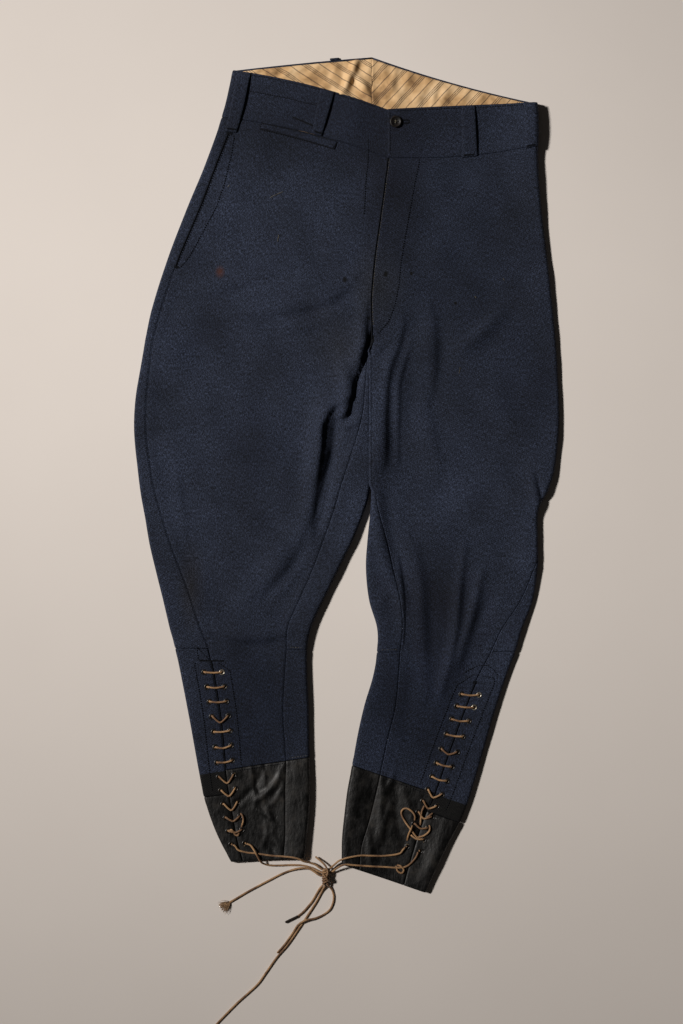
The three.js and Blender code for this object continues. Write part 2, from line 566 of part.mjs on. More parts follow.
// ---- laces ----------------------------------------------------------------------------
// A path that is straight between its points, and has one step for each of them.
class Route extends THREE.Curve {
  constructor(points) {
    super();
    this.points = points;
  }

  getPoint(t, target = new THREE.Vector3()) {
    const last = this.points.length - 1;
    const k = Math.min(Math.floor(t * last + 1e-9), last - 1);
    return target.copy(this.points[k]).lerp(this.points[k + 1], t * last - k);
  }

  getPointAt(u, target) {
    return this.getPoint(u, target);
  }

  getTangentAt(u, target = new THREE.Vector3()) {
    const step = 0.5 / (this.points.length - 1);
    const [from, to] = [clamp(u - step, 0, 1), clamp(u + step, 0, 1)];
    return target.copy(this.getPoint(to)).sub(this.getPoint(from)).normalize();
  }
}
const CORD_SIDES = 8;
function tube(points, diameter) {
  const shape = new THREE.Shape();
  for (let k = 0; k < CORD_SIDES; k += 1) {
    const angle = 2 * Math.PI * k / CORD_SIDES;
    const [x, y] = [diameter / 2 * Math.cos(angle), diameter / 2 * Math.sin(angle)];
    if (k === 0) shape.moveTo(x, y);
    else shape.lineTo(x, y);
  }
  const extrudePath = new Route(points);
  return new THREE.ExtrudeGeometry(shape, { steps: points.length - 1, bevelEnabled: false, extrudePath });
}

// Straight lacing with one lace: a bar across each row outside; inside, one end runs
// down the even rows and the other the odd rows, side by side.
const BAR_CLEAR = SKIN + LACE / 2 + 0.4;
const INSIDE_CLEAR = SKIN + LACE / 2 + 0.35;
const PASS = 1.1;                  // how far the bend stands off the eyelet's middle
const LANE = 2.7;                  // the lane that one end takes past the other, inside
const BAR_SAG = 1.5;
function lacing(leg) {
  const rows = eyelets(leg);
  const outside = (k, column, way) => {
    const { point, inwards, normal } = rows[k][column];
    return point.clone().addScaledVector(normal, BAR_CLEAR).addScaledVector(inwards, way * PASS);
  };
  const inside = (k, column, way) => {
    const { point, down, normal } = rows[k][column];
    return point.clone().addScaledVector(normal, -INSIDE_CLEAR).addScaledVector(down, way * PASS);
  };
  const between = (p, q) => p.clone().add(q).multiplyScalar(0.5);
  const bar = (k, start) => {
    const ends = [outside(k, start, 1 - 2 * start), outside(k, 1 - start, 2 * start - 1)];
    const { down, normal } = rows[k][0];
    const middle = between(...ends).addScaledVector(down, BAR_SAG).addScaledVector(normal, 0.5);
    return [ends[0], middle, ends[1]];
  };
  // inside, from an eyelet of row k down to row next, in a lane of its own
  const run = (k, next, column, lastColumn, lane) => {
    const ends = [inside(k, column, 1), inside(next, lastColumn, -1)];
    const middle = between(...ends).addScaledVector(rows[k][column].inwards, lane * LANE);
    return next - k > 1 ? [ends[0], middle, ends[1]] : ends;
  };
  // one end of the lace, from the first bar to where it comes out near the hem
  const last = EYELET_ROWS - 1;
  const end = (column, firstRow, lane) => {
    const points = [outside(0, column, 1 - 2 * column)];
    let [k, at] = [0, column];
    for (let row = firstRow; row < last; row += 2) {
      points.push(...run(k, row, at, at, lane), ...bar(row, at));
      [k, at] = [row, 1 - at];
    }
    return [...points, ...run(k, last, at, column, 0), outside(last, column, 1)];
  };
  const route = [...end(0, 1, 1).reverse(), bar(0, 0)[1], ...end(1, 2, -1)];
  add(`lacing_${leg.name}`, tube(route, LACE), WAXED_LACE);
}

// Each lace's two ends run on over the cuff to one knot between the legs, and four free
// ends lie on the ground from there. Points by hand, height over the ground last.
const LACE_ROUTES = {
  lace_tail_right_a: [[-140.9, -462.3, 9.2], [-138.4, -464.3, 9.2], [-134.5, -469, 9],
    [-123, -472, 8.7], [-113, -473, 8.4], [-95.5, -475.5, 8.8], [-80.5, -476.5, 9.9],
    [-68, -477.5, 11.3], [-60, -479.3, 11.5], [-53, -483, 9], [-45.5, -485, 5.5],
    [-38.5, -488, 4.6], [-34.5, -491, 4.9], [-30.5, -493.7, 5]],
  lace_tail_right_b: [[-124.1, -461, 8.9], [-119.5, -463, 9], [-115, -469, 10.9],
    [-111.5, -475.5, 10.9], [-107, -483.5, 8.4], [-101, -487.5, 3.5], [-93, -489, 1.4],
    [-83, -489, 1.4], [-70.5, -488.5, 1.4], [-55.5, -489, 1.4], [-44.5, -491.8, 1.6],
    [-36.5, -495.5, 3], [-30.8, -497.6, 4.4]],
  lace_tail_left_upper: [[73.1, -465.4, 8.7], [70.5, -468.5, 8.6], [65.5, -473.5, 8.2],
    [48, -476, 8.3], [32, -476, 8.8], [18, -475.5, 9.8], [7, -477, 10.8], [-2, -479, 11.2],
    [-9.5, -482.5, 7.5], [-14.5, -487, 4.8], [-21.6, -493, 5]],
  lace_tail_left_lower: [[89.2, -471.6, 9.3], [88, -475, 9.3], [85.5, -479.5, 9],
    [80, -485.5, 8.8], [74, -489.5, 8.6], [66, -491, 8.3], [48, -490, 8.3], [29.5, -489, 8.9],
    [10.5, -487.5, 10.4], [-0.5, -486.5, 11.4], [-6.5, -488, 11], [-12.5, -492, 7.5],
    [-17, -495.8, 4.8], [-21.3, -497.5, 4.4]],
  lace_end_frayed: [[-31.2, -501.8, 5.6], [-35.5, -499.8, 5.6], [-40.5, -496.2, 5.2], [-48, -492.5, 4.3],
    [-58, -492, 4.2], [-70.5, -495.5, 1.5], [-83, -500.5, 1.3], [-95.5, -507, 1.3],
    [-107, -513, 1.3], [-125.5, -523, 1.3], [-138, -530.5, 1.3], [-146, -535, 1.5]],
  lace_end_long: [[-26.6, -513.6, 4.4], [-29.6, -519, 2.2], [-32, -524, 1.3], [-38, -535, 1.3], [-45, -546, 1.3],
    [-52.5, -557.5, 1.3], [-60.5, -569.5, 1.3], [-74, -589, 1.3], [-87.5, -604.5, 1.3],
    [-100.5, -623, 1.3], [-110.5, -637, 1.3], [-122, -648, 1.3], [-135.5, -660, 1.3],
    [-149.5, -674, 1.3], [-162, -687, 1.3], [-165.5, -691, 1.3]],
  lace_end_tipped: [[-29.5, -513, 4.6], [-33.6, -518, 2.2], [-36.5, -523, 1.3], [-43, -534, 1.3],
    [-49.5, -542, 1.3], [-54.5, -547.5, 1.3], [-60.3, -552.2, 1.3]],
  lace_end_short: [[-23.6, -513.3, 4.8], [-20, -517, 2.6], [-17.5, -521, 1.4], [-16, -528, 1.3], [-17, -536, 1.3],
    [-21, -544.5, 1.3], [-29.5, -551, 1.3], [-39.5, -555, 2.6], [-48.5, -556.5, 4.1],
    [-55, -559, 4], [-61.5, -564.5, 1.5], [-67, -573.3, 1.3], [-76.8, -587.2, 1.3],
    [-86.3, -598.3, 1.3]],
};
const KNOT = { x: -26, y: -502.5, z: 5.2, profile: [[0, -10.5], [3, -10], [4.7, -8], [4.1, -5],
  [5.1, -2.6], [4.2, 0], [5.1, 2.6], [4.1, 5], [4.7, 8], [3, 10], [0, 10.5]] };
const AGLET = { from: [-60.9, -552.6], to: [-76, -560], height: 1.6, radius: 1.5 };
const TUFT = { from: [-146.9, -535.4], to: [-158, -542.5], height: 2.3, flat: 0.4,
  profile: [[0, 0], [1.3, 0], [2.2, 3], [4.5, 8], [5.6, 13], [0, 12]] };
const vector2 = ([x, y]) => new THREE.Vector2(x, y);
// turns a lathe's axis from +Y to the way from one ground point to another
function layAlong(geometry, from, to, height) {
  const way = new THREE.Vector3(to[0] - from[0], to[1] - from[1], 0).normalize();
  geometry.applyQuaternion(new THREE.Quaternion().setFromUnitVectors(THREE.Object3D.DEFAULT_UP, way));
  return geometry.translate(from[0], from[1], height);
}
function laceEnds() {
  for (const [name, points] of Object.entries(LACE_ROUTES)) {
    add(name, tube(points.map((p) => new THREE.Vector3(...p)), LACE), WAXED_LACE);
  }
  const knot = new THREE.LatheGeometry(KNOT.profile.map(vector2), 10);
  add('lace_knot', knot.translate(KNOT.x, KNOT.y, KNOT.z), WAXED_LACE);

  const length = Math.hypot(AGLET.to[0] - AGLET.from[0], AGLET.to[1] - AGLET.from[1]);
  const aglet = new THREE.CylinderGeometry(AGLET.radius, AGLET.radius, length, CORD_SIDES);
  aglet.translate(0, length / 2, 0);
  add('lace_aglet', layAlong(aglet, AGLET.from, AGLET.to, AGLET.height), AGLET_TIN);

  const tuft = new THREE.LatheGeometry(TUFT.profile.map(vector2), 10);
  layAlong(tuft, TUFT.from, TUFT.to, 0).scale(1, 1, TUFT.flat);
  add('lace_tuft', tuft.translate(0, 0, TUFT.height), WAXED_LACE);
}

for (const leg of [RIGHT, LEFT]) {
  legPanels(leg);
  liningPanel(leg);
  lacing(leg);
}
beltLoops();
watchPocketWelt();
waistButton();
laceEnds();

export default breeches;
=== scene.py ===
"""Riding breeches laid flat on their back: navy wool twill, black glazed cuffs, laced
calves. Shapes are worked out in millimetres, and every mesh is stored in metres."""
import json
import math

import bpy
import numpy as np
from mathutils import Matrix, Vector

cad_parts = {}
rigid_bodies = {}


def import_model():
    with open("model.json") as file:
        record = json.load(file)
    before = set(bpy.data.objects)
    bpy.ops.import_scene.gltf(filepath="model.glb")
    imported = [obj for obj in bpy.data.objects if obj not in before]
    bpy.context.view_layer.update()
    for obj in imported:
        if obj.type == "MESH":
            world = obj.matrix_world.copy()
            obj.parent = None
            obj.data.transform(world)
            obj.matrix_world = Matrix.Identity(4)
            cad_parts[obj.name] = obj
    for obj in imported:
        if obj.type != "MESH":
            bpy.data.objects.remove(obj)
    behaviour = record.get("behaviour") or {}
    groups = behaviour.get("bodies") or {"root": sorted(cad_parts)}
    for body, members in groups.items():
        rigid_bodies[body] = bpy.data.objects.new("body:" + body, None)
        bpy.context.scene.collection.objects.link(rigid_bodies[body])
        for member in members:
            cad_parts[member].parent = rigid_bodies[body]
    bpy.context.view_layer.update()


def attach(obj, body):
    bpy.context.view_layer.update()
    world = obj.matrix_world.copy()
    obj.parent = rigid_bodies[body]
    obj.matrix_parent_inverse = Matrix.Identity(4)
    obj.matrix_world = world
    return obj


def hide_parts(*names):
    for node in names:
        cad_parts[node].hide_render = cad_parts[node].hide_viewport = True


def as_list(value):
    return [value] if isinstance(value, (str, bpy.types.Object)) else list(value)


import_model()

# ---- view ------------------------------------------------------------
# A camera straight above the breeches, on a long lens, a little below the middle of
# the garment so that the lace ends come into the picture.
MM = 0.001
VIEW_MIDDLE = (-6.25, -46.9)
VIEW_HEIGHT = 3026
camera_data = bpy.data.cameras.new("camera")
camera_data.lens = 85
camera_data.sensor_width = 36
camera_data.clip_end = 20
camera = bpy.data.objects.new("camera", camera_data)
camera.location = (VIEW_MIDDLE[0] * MM, VIEW_MIDDLE[1] * MM, VIEW_HEIGHT * MM)
bpy.context.collection.objects.link(camera)
bpy.context.scene.camera = camera


# ---- laces -----------------------------------------------------------
# One braided cotton lace for each leg, waxed brown. Their four tails run over the cuffs
# to one knot between the legs; two of the ends that go on from it are cut bare, one
# keeps its dark tin tip and one has frayed out.
LACE = 2.4
LACE_SIDES = 12
BRAID_PITCH = 3.6      # one turn of a strand round the braid
BRAID_SLANT = 0.62     # of its strands to the lace, in radians


def linear(code):
    """Linear red, green, blue and alpha from an sRGB hex value."""
    parts = [int(code[i:i + 2], 16) / 255 for i in (1, 3, 5)]
    return tuple(c / 12.92 if c <= 0.04045 else ((c + 0.055) / 1.055) ** 2.4
                 for c in parts) + (1.0,)


def new_material(name, **settings):
    """A Principled material; settings are its own sockets, with _ for a space."""
    material = bpy.data.materials.new(name)
    material.use_nodes = True
    shader = material.node_tree.nodes["Principled BSDF"]
    for key, value in settings.items():
        shader.inputs[key.replace("_", " ")].default_value = value
    return material, material.node_tree, shader


def node(tree, kind, links=(), stops=(), **settings):
    """Adds a node. settings are its properties, or numbered or named inputs given as
    in_0 or in_Scale; links are (input, socket) pairs; stops are (place, hex) pairs of a
    colour ramp. A pattern's Scale is in repeats to the metre: 1000 is one a millimetre."""
    made = tree.nodes.new("ShaderNode" + kind)
    for key, value in settings.items():
        if key.startswith("in_"):
            slot = key[3:].replace("_", " ")
            made.inputs[int(slot) if slot.isdigit() else slot].default_value = value
        else:
            setattr(made, key, value)
    for slot, socket in links:
        tree.links.new(socket, made.inputs[slot])
    if stops:
        elements = made.color_ramp.elements
        while len(elements) < len(stops):
            elements.new(0.5)
        for element, (place, code) in zip(elements, stops):
            element.position = place
            element.color = linear(code)
    return made


def mottled(name, scale, detail, stops, stretch=(1.0, 1.0, 1.0), **settings):
    """A material whose colour runs over the stops with a noise that lies in the piece's
    own coordinates, narrowed by stretch."""
    material, tree, shader = new_material(name, **settings)
    place = node(tree, "TexCoord").outputs["Object"]
    drawn = node(tree, "Mapping", [("Vector", place)], in_Scale=stretch)
    noise = node(tree, "TexNoise", [("Vector", drawn.outputs[0])], in_Scale=scale,
                 in_Detail=detail)
    colour = node(tree, "ValToRGB", [(0, noise.outputs["Fac"])], stops)
    tree.links.new(colour.outputs[0], shader.inputs["Base Color"])
    return material


def mesh_piece(name, shape, material, replaced=()):
    """A mesh from a shape: points in millimetres, arrays of three- or four-sided faces
    and, for each, the UV of its corners, in millimetres too. It rides on the body and
    stands for the CAD nodes named."""
    points, faces, uv = shape
    points = np.asarray(points, float).reshape(-1, 3) * MM
    corners = np.concatenate([np.asarray(f).ravel() for f in faces]).astype(np.int32)
    sides = np.concatenate([np.full(len(f), np.asarray(f).shape[1]) for f in faces])
    starts = np.concatenate([[0], np.cumsum(sides)[:-1]]).astype(np.int32)
    mesh = bpy.data.meshes.new(name)
    mesh.vertices.add(len(points))
    mesh.vertices.foreach_set("co", points.astype(np.float32).ravel())
    mesh.loops.add(len(corners))
    mesh.loops.foreach_set("vertex_index", corners)
    mesh.polygons.add(len(sides))
    mesh.polygons.foreach_set("loop_start", starts)
    mesh.polygons.foreach_set("use_smooth", np.ones(len(sides), bool))
    mesh.update(calc_edges=True)
    layer = mesh.uv_layers.new(name="UVMap")
    flat = np.concatenate([np.asarray(part, np.float32).reshape(-1, 2) for part in uv]) * MM
    layer.data.foreach_set("uv", flat.ravel())
    mesh.materials.append(material)
    piece = bpy.data.objects.new(name, mesh)
    bpy.context.collection.objects.link(piece)
    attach(piece, "root")
    if replaced:
        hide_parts(*replaced)
    return piece


def cubic(p, q, slope_p, slope_q, t):
    """The cubic from p to q that has these slopes at its ends, at shares t of the way."""
    return ((2 * t ** 3 - 3 * t ** 2 + 1) * p + (t ** 3 - 2 * t ** 2 + t) * slope_p
            + (3 * t ** 2 - 2 * t ** 3) * q + (t ** 3 - t ** 2) * slope_q)


def smooth_path(points, step):
    """A route through the points: cubic pieces whose slope at a point is that of the
    line through its two neighbours, then places step apart along it."""
    p = np.asarray(points, float)
    before, after = np.vstack([p[:1], p[:-1]]), np.vstack([p[1:], p[-1:]])
    slope = (after - before) / 2
    slope[0], slope[-1] = p[1] - p[0], p[-1] - p[-2]
    t = np.linspace(0, 1, 24, endpoint=False)[:, None, None]
    fine = cubic(p[:-1], p[1:], slope[:-1], slope[1:], t)
    fine = np.vstack([fine.transpose(1, 0, 2).reshape(-1, 3), p[-1:]])
    length = np.concatenate([[0], np.cumsum(np.linalg.norm(np.diff(fine, axis=0), axis=1))])
    places = np.linspace(0, length[-1], max(int(length[-1] / step), 4) + 1)
    return np.stack([np.interp(places, length, fine[:, k]) for k in range(3)], 1), places


def unit(v):
    return v / np.maximum(np.linalg.norm(v, axis=-1, keepdims=True), 1e-9)


def side_ways(path):
    """Two directions square to the path at each place, turned as little as can be."""
    ahead = unit(np.gradient(path, axis=0))
    first = np.cross(ahead[0], (0, 0, 1))
    first = unit(first if np.linalg.norm(first) > 0.1 else np.cross(ahead[0], (1, 0, 0)))
    ways = [first]
    for way in ahead[1:]:
        ways.append(unit(ways[-1] - way * np.dot(ways[-1], way)))
    ways = np.array(ways)
    return ways, np.cross(ahead, ways)


def ring_faces(rings, sides, closed=False):
    """Each face's ring and place round it, and its corners: four-sided faces between
    rings of points that follow each other, and from the last to the first if closed."""
    i, j = np.mgrid[:rings if closed else rings - 1, :sides].reshape(2, -1)
    k, m = (j + 1) % sides, (i + 1) % rings
    return i, j, np.stack([i * sides + j, i * sides + k, m * sides + k, m * sides + j], -1)


def end_fans(rings, sides):
    """Three-sided faces that close the first ring and the last, each round a point of
    its own; those two come after the points of the rings."""
    j = np.arange(sides)
    k, low = (j + 1) % sides, (rings - 1) * sides
    middle = np.full(sides, rings * sides)
    return np.concatenate([np.stack([middle, k, j], -1),
                           np.stack([middle + 1, low + j, low + k], -1)])


END_WIDTH, END_REACH = 0.6, 0.45       # of a tube's ends, as shares of its radius


def tube(path, places, radius, sides):
    """The shape of a tube round a path: at each place a circle of the radius given
    there, its two ends drawn in and closed with a fan. UV is the way round and along."""
    radius = np.asarray(radius, float)
    radius = np.broadcast_to(radius if radius.ndim == 2 else radius[..., None],
                             (len(path), sides))
    one, two = side_ways(path)
    angle = np.linspace(0, 2 * math.pi, sides, endpoint=False)[None, :, None]
    rings = (path[:, None] + radius[..., None] * (one[:, None] * np.cos(angle)
                                                  + two[:, None] * np.sin(angle)))
    reach = radius.mean(1) * END_REACH
    ahead = unit(np.gradient(path, axis=0))
    first = path[0] + (rings[0] - path[0]) * END_WIDTH - ahead[0] * reach[0]
    last = path[-1] + (rings[-1] - path[-1]) * END_WIDTH + ahead[-1] * reach[-1]
    rings = np.concatenate([first[None], rings, last[None]])
    along = np.concatenate([places[:1], places, places[-1:]])
    i, j, sleeve = ring_faces(len(rings), sides)
    way_round = 2 * math.pi * radius.mean() / sides
    sleeve_uv = np.stack([np.stack([j, j + 1, j + 1, j], -1) * way_round,
                          np.stack([along[i], along[i], along[i + 1], along[i + 1]], -1)], -1)
    ends = np.array([rings[0].mean(0), rings[-1].mean(0)])
    caps = end_fans(len(rings), sides)
    points = np.concatenate([rings.reshape(-1, 3), ends])
    return points, [sleeve, caps], [sleeve_uv, points[caps][..., :2]]


def braid(places):
    """Radius round a lace: half its width, with a swell wherever a strand of either
    turn comes out on top."""
    angle = np.linspace(0, 2 * math.pi, LACE_SIDES, endpoint=False)[None, :]
    turn = places[:, None] * 2 * math.pi / BRAID_PITCH
    swell = np.abs(np.sin(2 * angle + turn) * np.sin(2 * angle - turn))
    return LACE / 2 * (0.95 + 0.09 * swell)


def lace_shape(path, places):
    return tube(path, places, braid(places), LACE_SIDES)


def joined(shapes):
    """Several shapes as one."""
    shift = np.cumsum([0] + [len(shape[0]) for shape in shapes[:-1]])
    faces = [f + by for shape, by in zip(shapes, shift) for f in shape[1]]
    return np.concatenate([shape[0] for shape in shapes]), faces, [
        uv for shape in shapes for uv in shape[2]]


def waxed_cotton():
    """Braided cotton, waxed brown: its strands painted lighter on their crowns and darker in
    the gaps between them, as painted light and shade; dirt in long patches, and the low
    shine of wax on the crowns."""
    material, tree, shader = new_material("waxed_cotton_braid", Roughness=0.55,
                                          Specular_IOR_Level=0.4, Sheen_Weight=0.15)
    uv = node(tree, "UVMap").outputs["UV"]
    strands = []
    for slant in (BRAID_SLANT, -BRAID_SLANT):
        turned = node(tree, "Mapping", [("Vector", uv)], in_Rotation=(0, 0, slant))
        wave = node(tree, "TexWave", [("Vector", turned.outputs[0])], bands_direction="Y",
                    in_Scale=1 / (BRAID_PITCH * 0.42 * MM) / 3.1, in_Distortion=0.6,
                    in_Detail=1.0)
        strands.append(wave.outputs["Fac"])
    crowns = node(tree, "Math", [(0, strands[0]), (1, strands[1])], operation="MAXIMUM")
    place = node(tree, "TexCoord").outputs["Object"]
    patches = node(tree, "TexNoise", [("Vector", place)], in_Scale=70, in_Detail=3)
    fibres = node(tree, "TexNoise", [("Vector", place)], in_Scale=1900, in_Detail=2)
    # painted light and shade: the strands' crowns are painted lighter and the gaps between
    # them darker
    light, dirty = (node(tree, "ValToRGB", [(0, crowns.outputs[0])], stops).outputs[0]
                    for stops in ([(0.25, "#46321f"), (0.75, "#9f7850"), (1, "#bf976b")],
                                  [(0.25, "#2c1f15"), (0.8, "#6d4c31"), (1, "#86613f")]))
    grime = node(tree, "MapRange", [("Value", patches.outputs["Fac"])], in_1=0.42, in_2=0.62)
    colour = node(tree, "Mix", [("Factor", grime.outputs[0]), ("A", light), ("B", dirty)],
                  data_type="RGBA")
    tree.links.new(colour.outputs["Result"], shader.inputs["Base Color"])
    height = node(tree, "Math", [(0, crowns.outputs[0]), (1, fibres.outputs["Fac"])],
                  operation="ADD")
    bump = node(tree, "Bump", [("Height", height.outputs[0])], in_Strength=0.7,
                in_Distance=0.25 * MM)
    tree.links.new(bump.outputs[0], shader.inputs["Normal"])
    return material


LACE_COTTON = waxed_cotton()
LACE_STEP = 0.75
# points listed, height over the ground last: the solids' own routes
LACE_ROUTES = {
    "lace_tail_right_a": [
        (-140.9, -462.3, 9.2), (-138.4, -464.3, 9.2), (-134.5, -469, 9), (-123, -472, 8.7),
        (-113, -473, 8.4), (-95.5, -475.5, 8.8), (-80.5, -476.5, 9.9), (-68, -477.5, 11.3),
        (-60, -479.3, 11.5), (-53, -483, 9), (-45.5, -485, 5.5), (-38.5, -488, 4.6),
        (-34.5, -491, 4.9), (-30.5, -493.7, 5)],
    "lace_tail_right_b": [
        (-124.1, -461, 8.9), (-119.5, -463, 9), (-115, -469, 10.9), (-111.5, -475.5, 10.9),
        (-107, -483.5, 8.4), (-101, -487.5, 3.5), (-93, -489, 1.4), (-83, -489, 1.4),
        (-70.5, -488.5, 1.4), (-55.5, -489, 1.4), (-44.5, -491.8, 1.6), (-36.5, -495.5, 3),
        (-30.8, -497.6, 4.4)],
    "lace_tail_left_upper": [
        (73.1, -465.4, 8.7), (70.5, -468.5, 8.6), (65.5, -473.5, 8.2), (48, -476, 8.3),
        (32, -476, 8.8), (18, -475.5, 9.8), (7, -477, 10.8), (-2, -479, 11.2),
        (-9.5, -482.5, 7.5), (-14.5, -487, 4.8), (-21.6, -493, 5)],
    "lace_tail_left_lower": [
        (89.2, -471.6, 9.3), (88, -475, 9.3), (85.5, -479.5, 9), (80, -485.5, 8.8),
        (74, -489.5, 8.6), (66, -491, 8.3), (48, -490, 8.3), (29.5, -489, 8.9),
        (10.5, -487.5, 10.4), (-0.5, -486.5, 11.4), (-6.5, -488, 11), (-12.5, -492, 7.5),
        (-17, -495.8, 4.8), (-21.3, -497.5, 4.4)],
    "lace_end_frayed": [
        (-31.2, -501.8, 5.6), (-35.5, -499.8, 5.6), (-40.5, -496.2, 5.2), (-48, -492.5, 4.3),
        (-58, -492, 4.2), (-70.5, -495.5, 1.5), (-83, -500.5, 1.3), (-95.5, -507, 1.3),
        (-107, -513, 1.3), (-125.5, -523, 1.3), (-138, -530.5, 1.3), (-146, -535, 1.5)],
    "lace_end_long": [
        (-26.6, -513.6, 4.4), (-29.6, -519, 2.2), (-32, -524, 1.3), (-38, -535, 1.3),
        (-45, -546, 1.3), (-52.5, -557.5, 1.3), (-60.5, -569.5, 1.3), (-74, -589, 1.3),
        (-87.5, -604.5, 1.3), (-100.5, -623, 1.3), (-110.5, -637, 1.3), (-122, -648, 1.3),
        (-135.5, -660, 1.3), (-149.5, -674, 1.3), (-162, -687, 1.3), (-165.5, -691, 1.3)],
    "lace_end_tipped": [
        (-29.5, -513, 4.6), (-33.6, -518, 2.2), (-36.5, -523, 1.3), (-43, -534, 1.3),
        (-49.5, -542, 1.3), (-54.5, -547.5, 1.3), (-60.3, -552.2, 1.3)],
    "lace_end_short": [
        (-23.6, -513.3, 4.8), (-20, -517, 2.6), (-17.5, -521, 1.4), (-16, -528, 1.3),
        (-17, -536, 1.3), (-21, -544.5, 1.3), (-29.5, -551, 1.3), (-39.5, -555, 2.6),
        (-48.5, -556.5, 4.1), (-55, -559, 4), (-61.5, -564.5, 1.5), (-67, -573.3, 1.3),
        (-76.8, -587.2, 1.3), (-86.3, -598.3, 1.3)],
}

# The knot: the strands run through it, and one of them is wound round the rest.
KNOT = (-26, -502.5, 5.2)
KNOT_TURNS = 6
KNOT_REACH = 9.0
KNOT_RADIUS = 3.9
KNOT_PLACES = 150
turn = np.linspace(0, 2 * math.pi * KNOT_TURNS, KNOT_PLACES)
along = np.linspace(KNOT_REACH, -KNOT_REACH, KNOT_PLACES)
wrap_radius = KNOT_RADIUS * (1 - 0.22 * np.abs(along / KNOT_REACH) ** 3)
winding = np.stack([KNOT[0] + wrap_radius * np.cos(turn),
                    KNOT[1] + along + 0.9 * np.sin(turn + 0.8),
                    KNOT[2] + 0.95 * wrap_radius * np.sin(turn)], 1)
knot_paths = [winding]
for shift_x, shift_z in ((-1.3, 0.6), (1.2, 0.9), (0.1, -1.3)):
    through = [(KNOT[0] + shift_x * (1 + 0.8 * abs(t)), KNOT[1] + 10 * t,
                KNOT[2] + shift_z) for t in (1, 0.5, 0, -0.5, -1)]
    knot_paths.append(np.array(through))
# one strand laid slantwise over the windings
knot_paths.append(np.array([(KNOT[0] + x, KNOT[1] + y, z) for x, y, z in (
    (-4.6, 5.5, 5.5), (-2.6, 3.2, 10), (0.4, -0.4, 10.9), (3, -4.2, 9.6), (4.6, -6.6, 5.2))]))
# and a short cut end that stands up out of the top
knot_paths.append(np.array([(KNOT[0] + x, KNOT[1] + y, z) for x, y, z in (
    (0.5, -1, 9.6), (2.6, 6.5, 9.2), (-0.5, 14, 7.4), (-6, 19.5, 6.0), (-12.5, 24.5, 4.2))]))
strands = [lace_shape(*smooth_path(route, LACE_STEP)) for route in knot_paths]
knot = mesh_piece("knot_of_laces", joined(strands), LACE_COTTON, ["lace_knot"])

# The tin tip: a strip rolled round the lace's end, its edge a fine step along the top.
TIP_FROM, TIP_TO, TIP_RADIUS = (-60.9, -552.6, 1.6), (-76, -560, 1.6), 1.5
TIP_SIDES = 16
tip_path, tip_places = smooth_path([TIP_FROM, np.add(TIP_FROM, TIP_TO) / 2, TIP_TO], 0.8)
angle = np.linspace(0, 2 * math.pi, TIP_SIDES, endpoint=False)[None, :]
rolled = TIP_RADIUS * (1 - 0.06 * (angle / (2 * math.pi)))
crimp = 1 - 0.1 * np.exp(-((tip_places[:, None] - 4) / 0.8) ** 2)
rolled_tip = tube(tip_path, tip_places, rolled * crimp, TIP_SIDES)
# tinplate under dark lacquer: a dim metal shine, with the tin bright in specks
tin = mottled("lacquered_tin", 900, 4, [(0.45, "#1b1512"), (0.62, "#3a2f27"),
                                        (0.75, "#7a6a58")], Metallic=0.7, Roughness=0.45)
tip = mesh_piece("tin_tip", rolled_tip, tin, ["lace_aglet"])

# The frayed end: the braid has come undone into a brush of fibres.
TUFT_FROM, TUFT_TO = np.array((-146.2, -535.1, 1.5)), np.array((-158, -542.5, 2.2))
TUFT_FIBRES = 110
rng = np.random.default_rng(4)
tuft_way = unit(TUFT_TO - TUFT_FROM)
tuft_side = np.cross(tuft_way, (0, 0, 1))
fibres = []
for _ in range(TUFT_FIBRES):
    spread = rng.normal(0, 0.33)
    lift = rng.uniform(-0.28, 0.9)
    reach = rng.uniform(8, 13.8)
    curl = rng.normal(0, 0.9)
    root = TUFT_FROM + tuft_side * spread * 1.6 + np.array((0, 0, 0.6 * lift))
    end = (TUFT_FROM + tuft_way * reach + tuft_side * spread * 11
           + np.array((0, 0, 1.1 + 2 * lift)))
    middle = (root + end) / 2 + tuft_side * curl + np.array((0, 0, 0.3 + 0.4 * lift))
    fibre, places = smooth_path([root, middle, end], 2.4)
    fibres.append(tube(fibre, places, np.linspace(0.26, 0.14, len(fibre)), 4))
# cotton that has lost its wax: dull, with the soft edge of loose fibre
fibre_cotton = mottled("loose_cotton_fibre", 450, 2, [(0.3, "#4d3823"), (0.5, "#8d6c48"),
                                                      (0.7, "#b8946a")],
                       Roughness=0.8, Sheen_Weight=0.3)
tuft = mesh_piece("frayed_fibres", joined(fibres), fibre_cotton, ["lace_tuft"])

# what is at the far end of each, and the piece that is that end; the tails end in the knot
LACE_ENDS = {"lace_end_frayed": ("bare", [tuft]), "lace_end_long": ("bare", []),
             "lace_end_tipped": ("fitting", [tip]), "lace_end_short": ("bare", [])}
for name, route in LACE_ROUTES.items():
    path, places = smooth_path(route, LACE_STEP)
    piece = mesh_piece(name.replace("lace_", "braid_"), lace_shape(path, places), LACE_COTTON,
                       [name])
    far_end, on_it = LACE_ENDS.get(name, ("knot", [knot]))
    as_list(on_it)


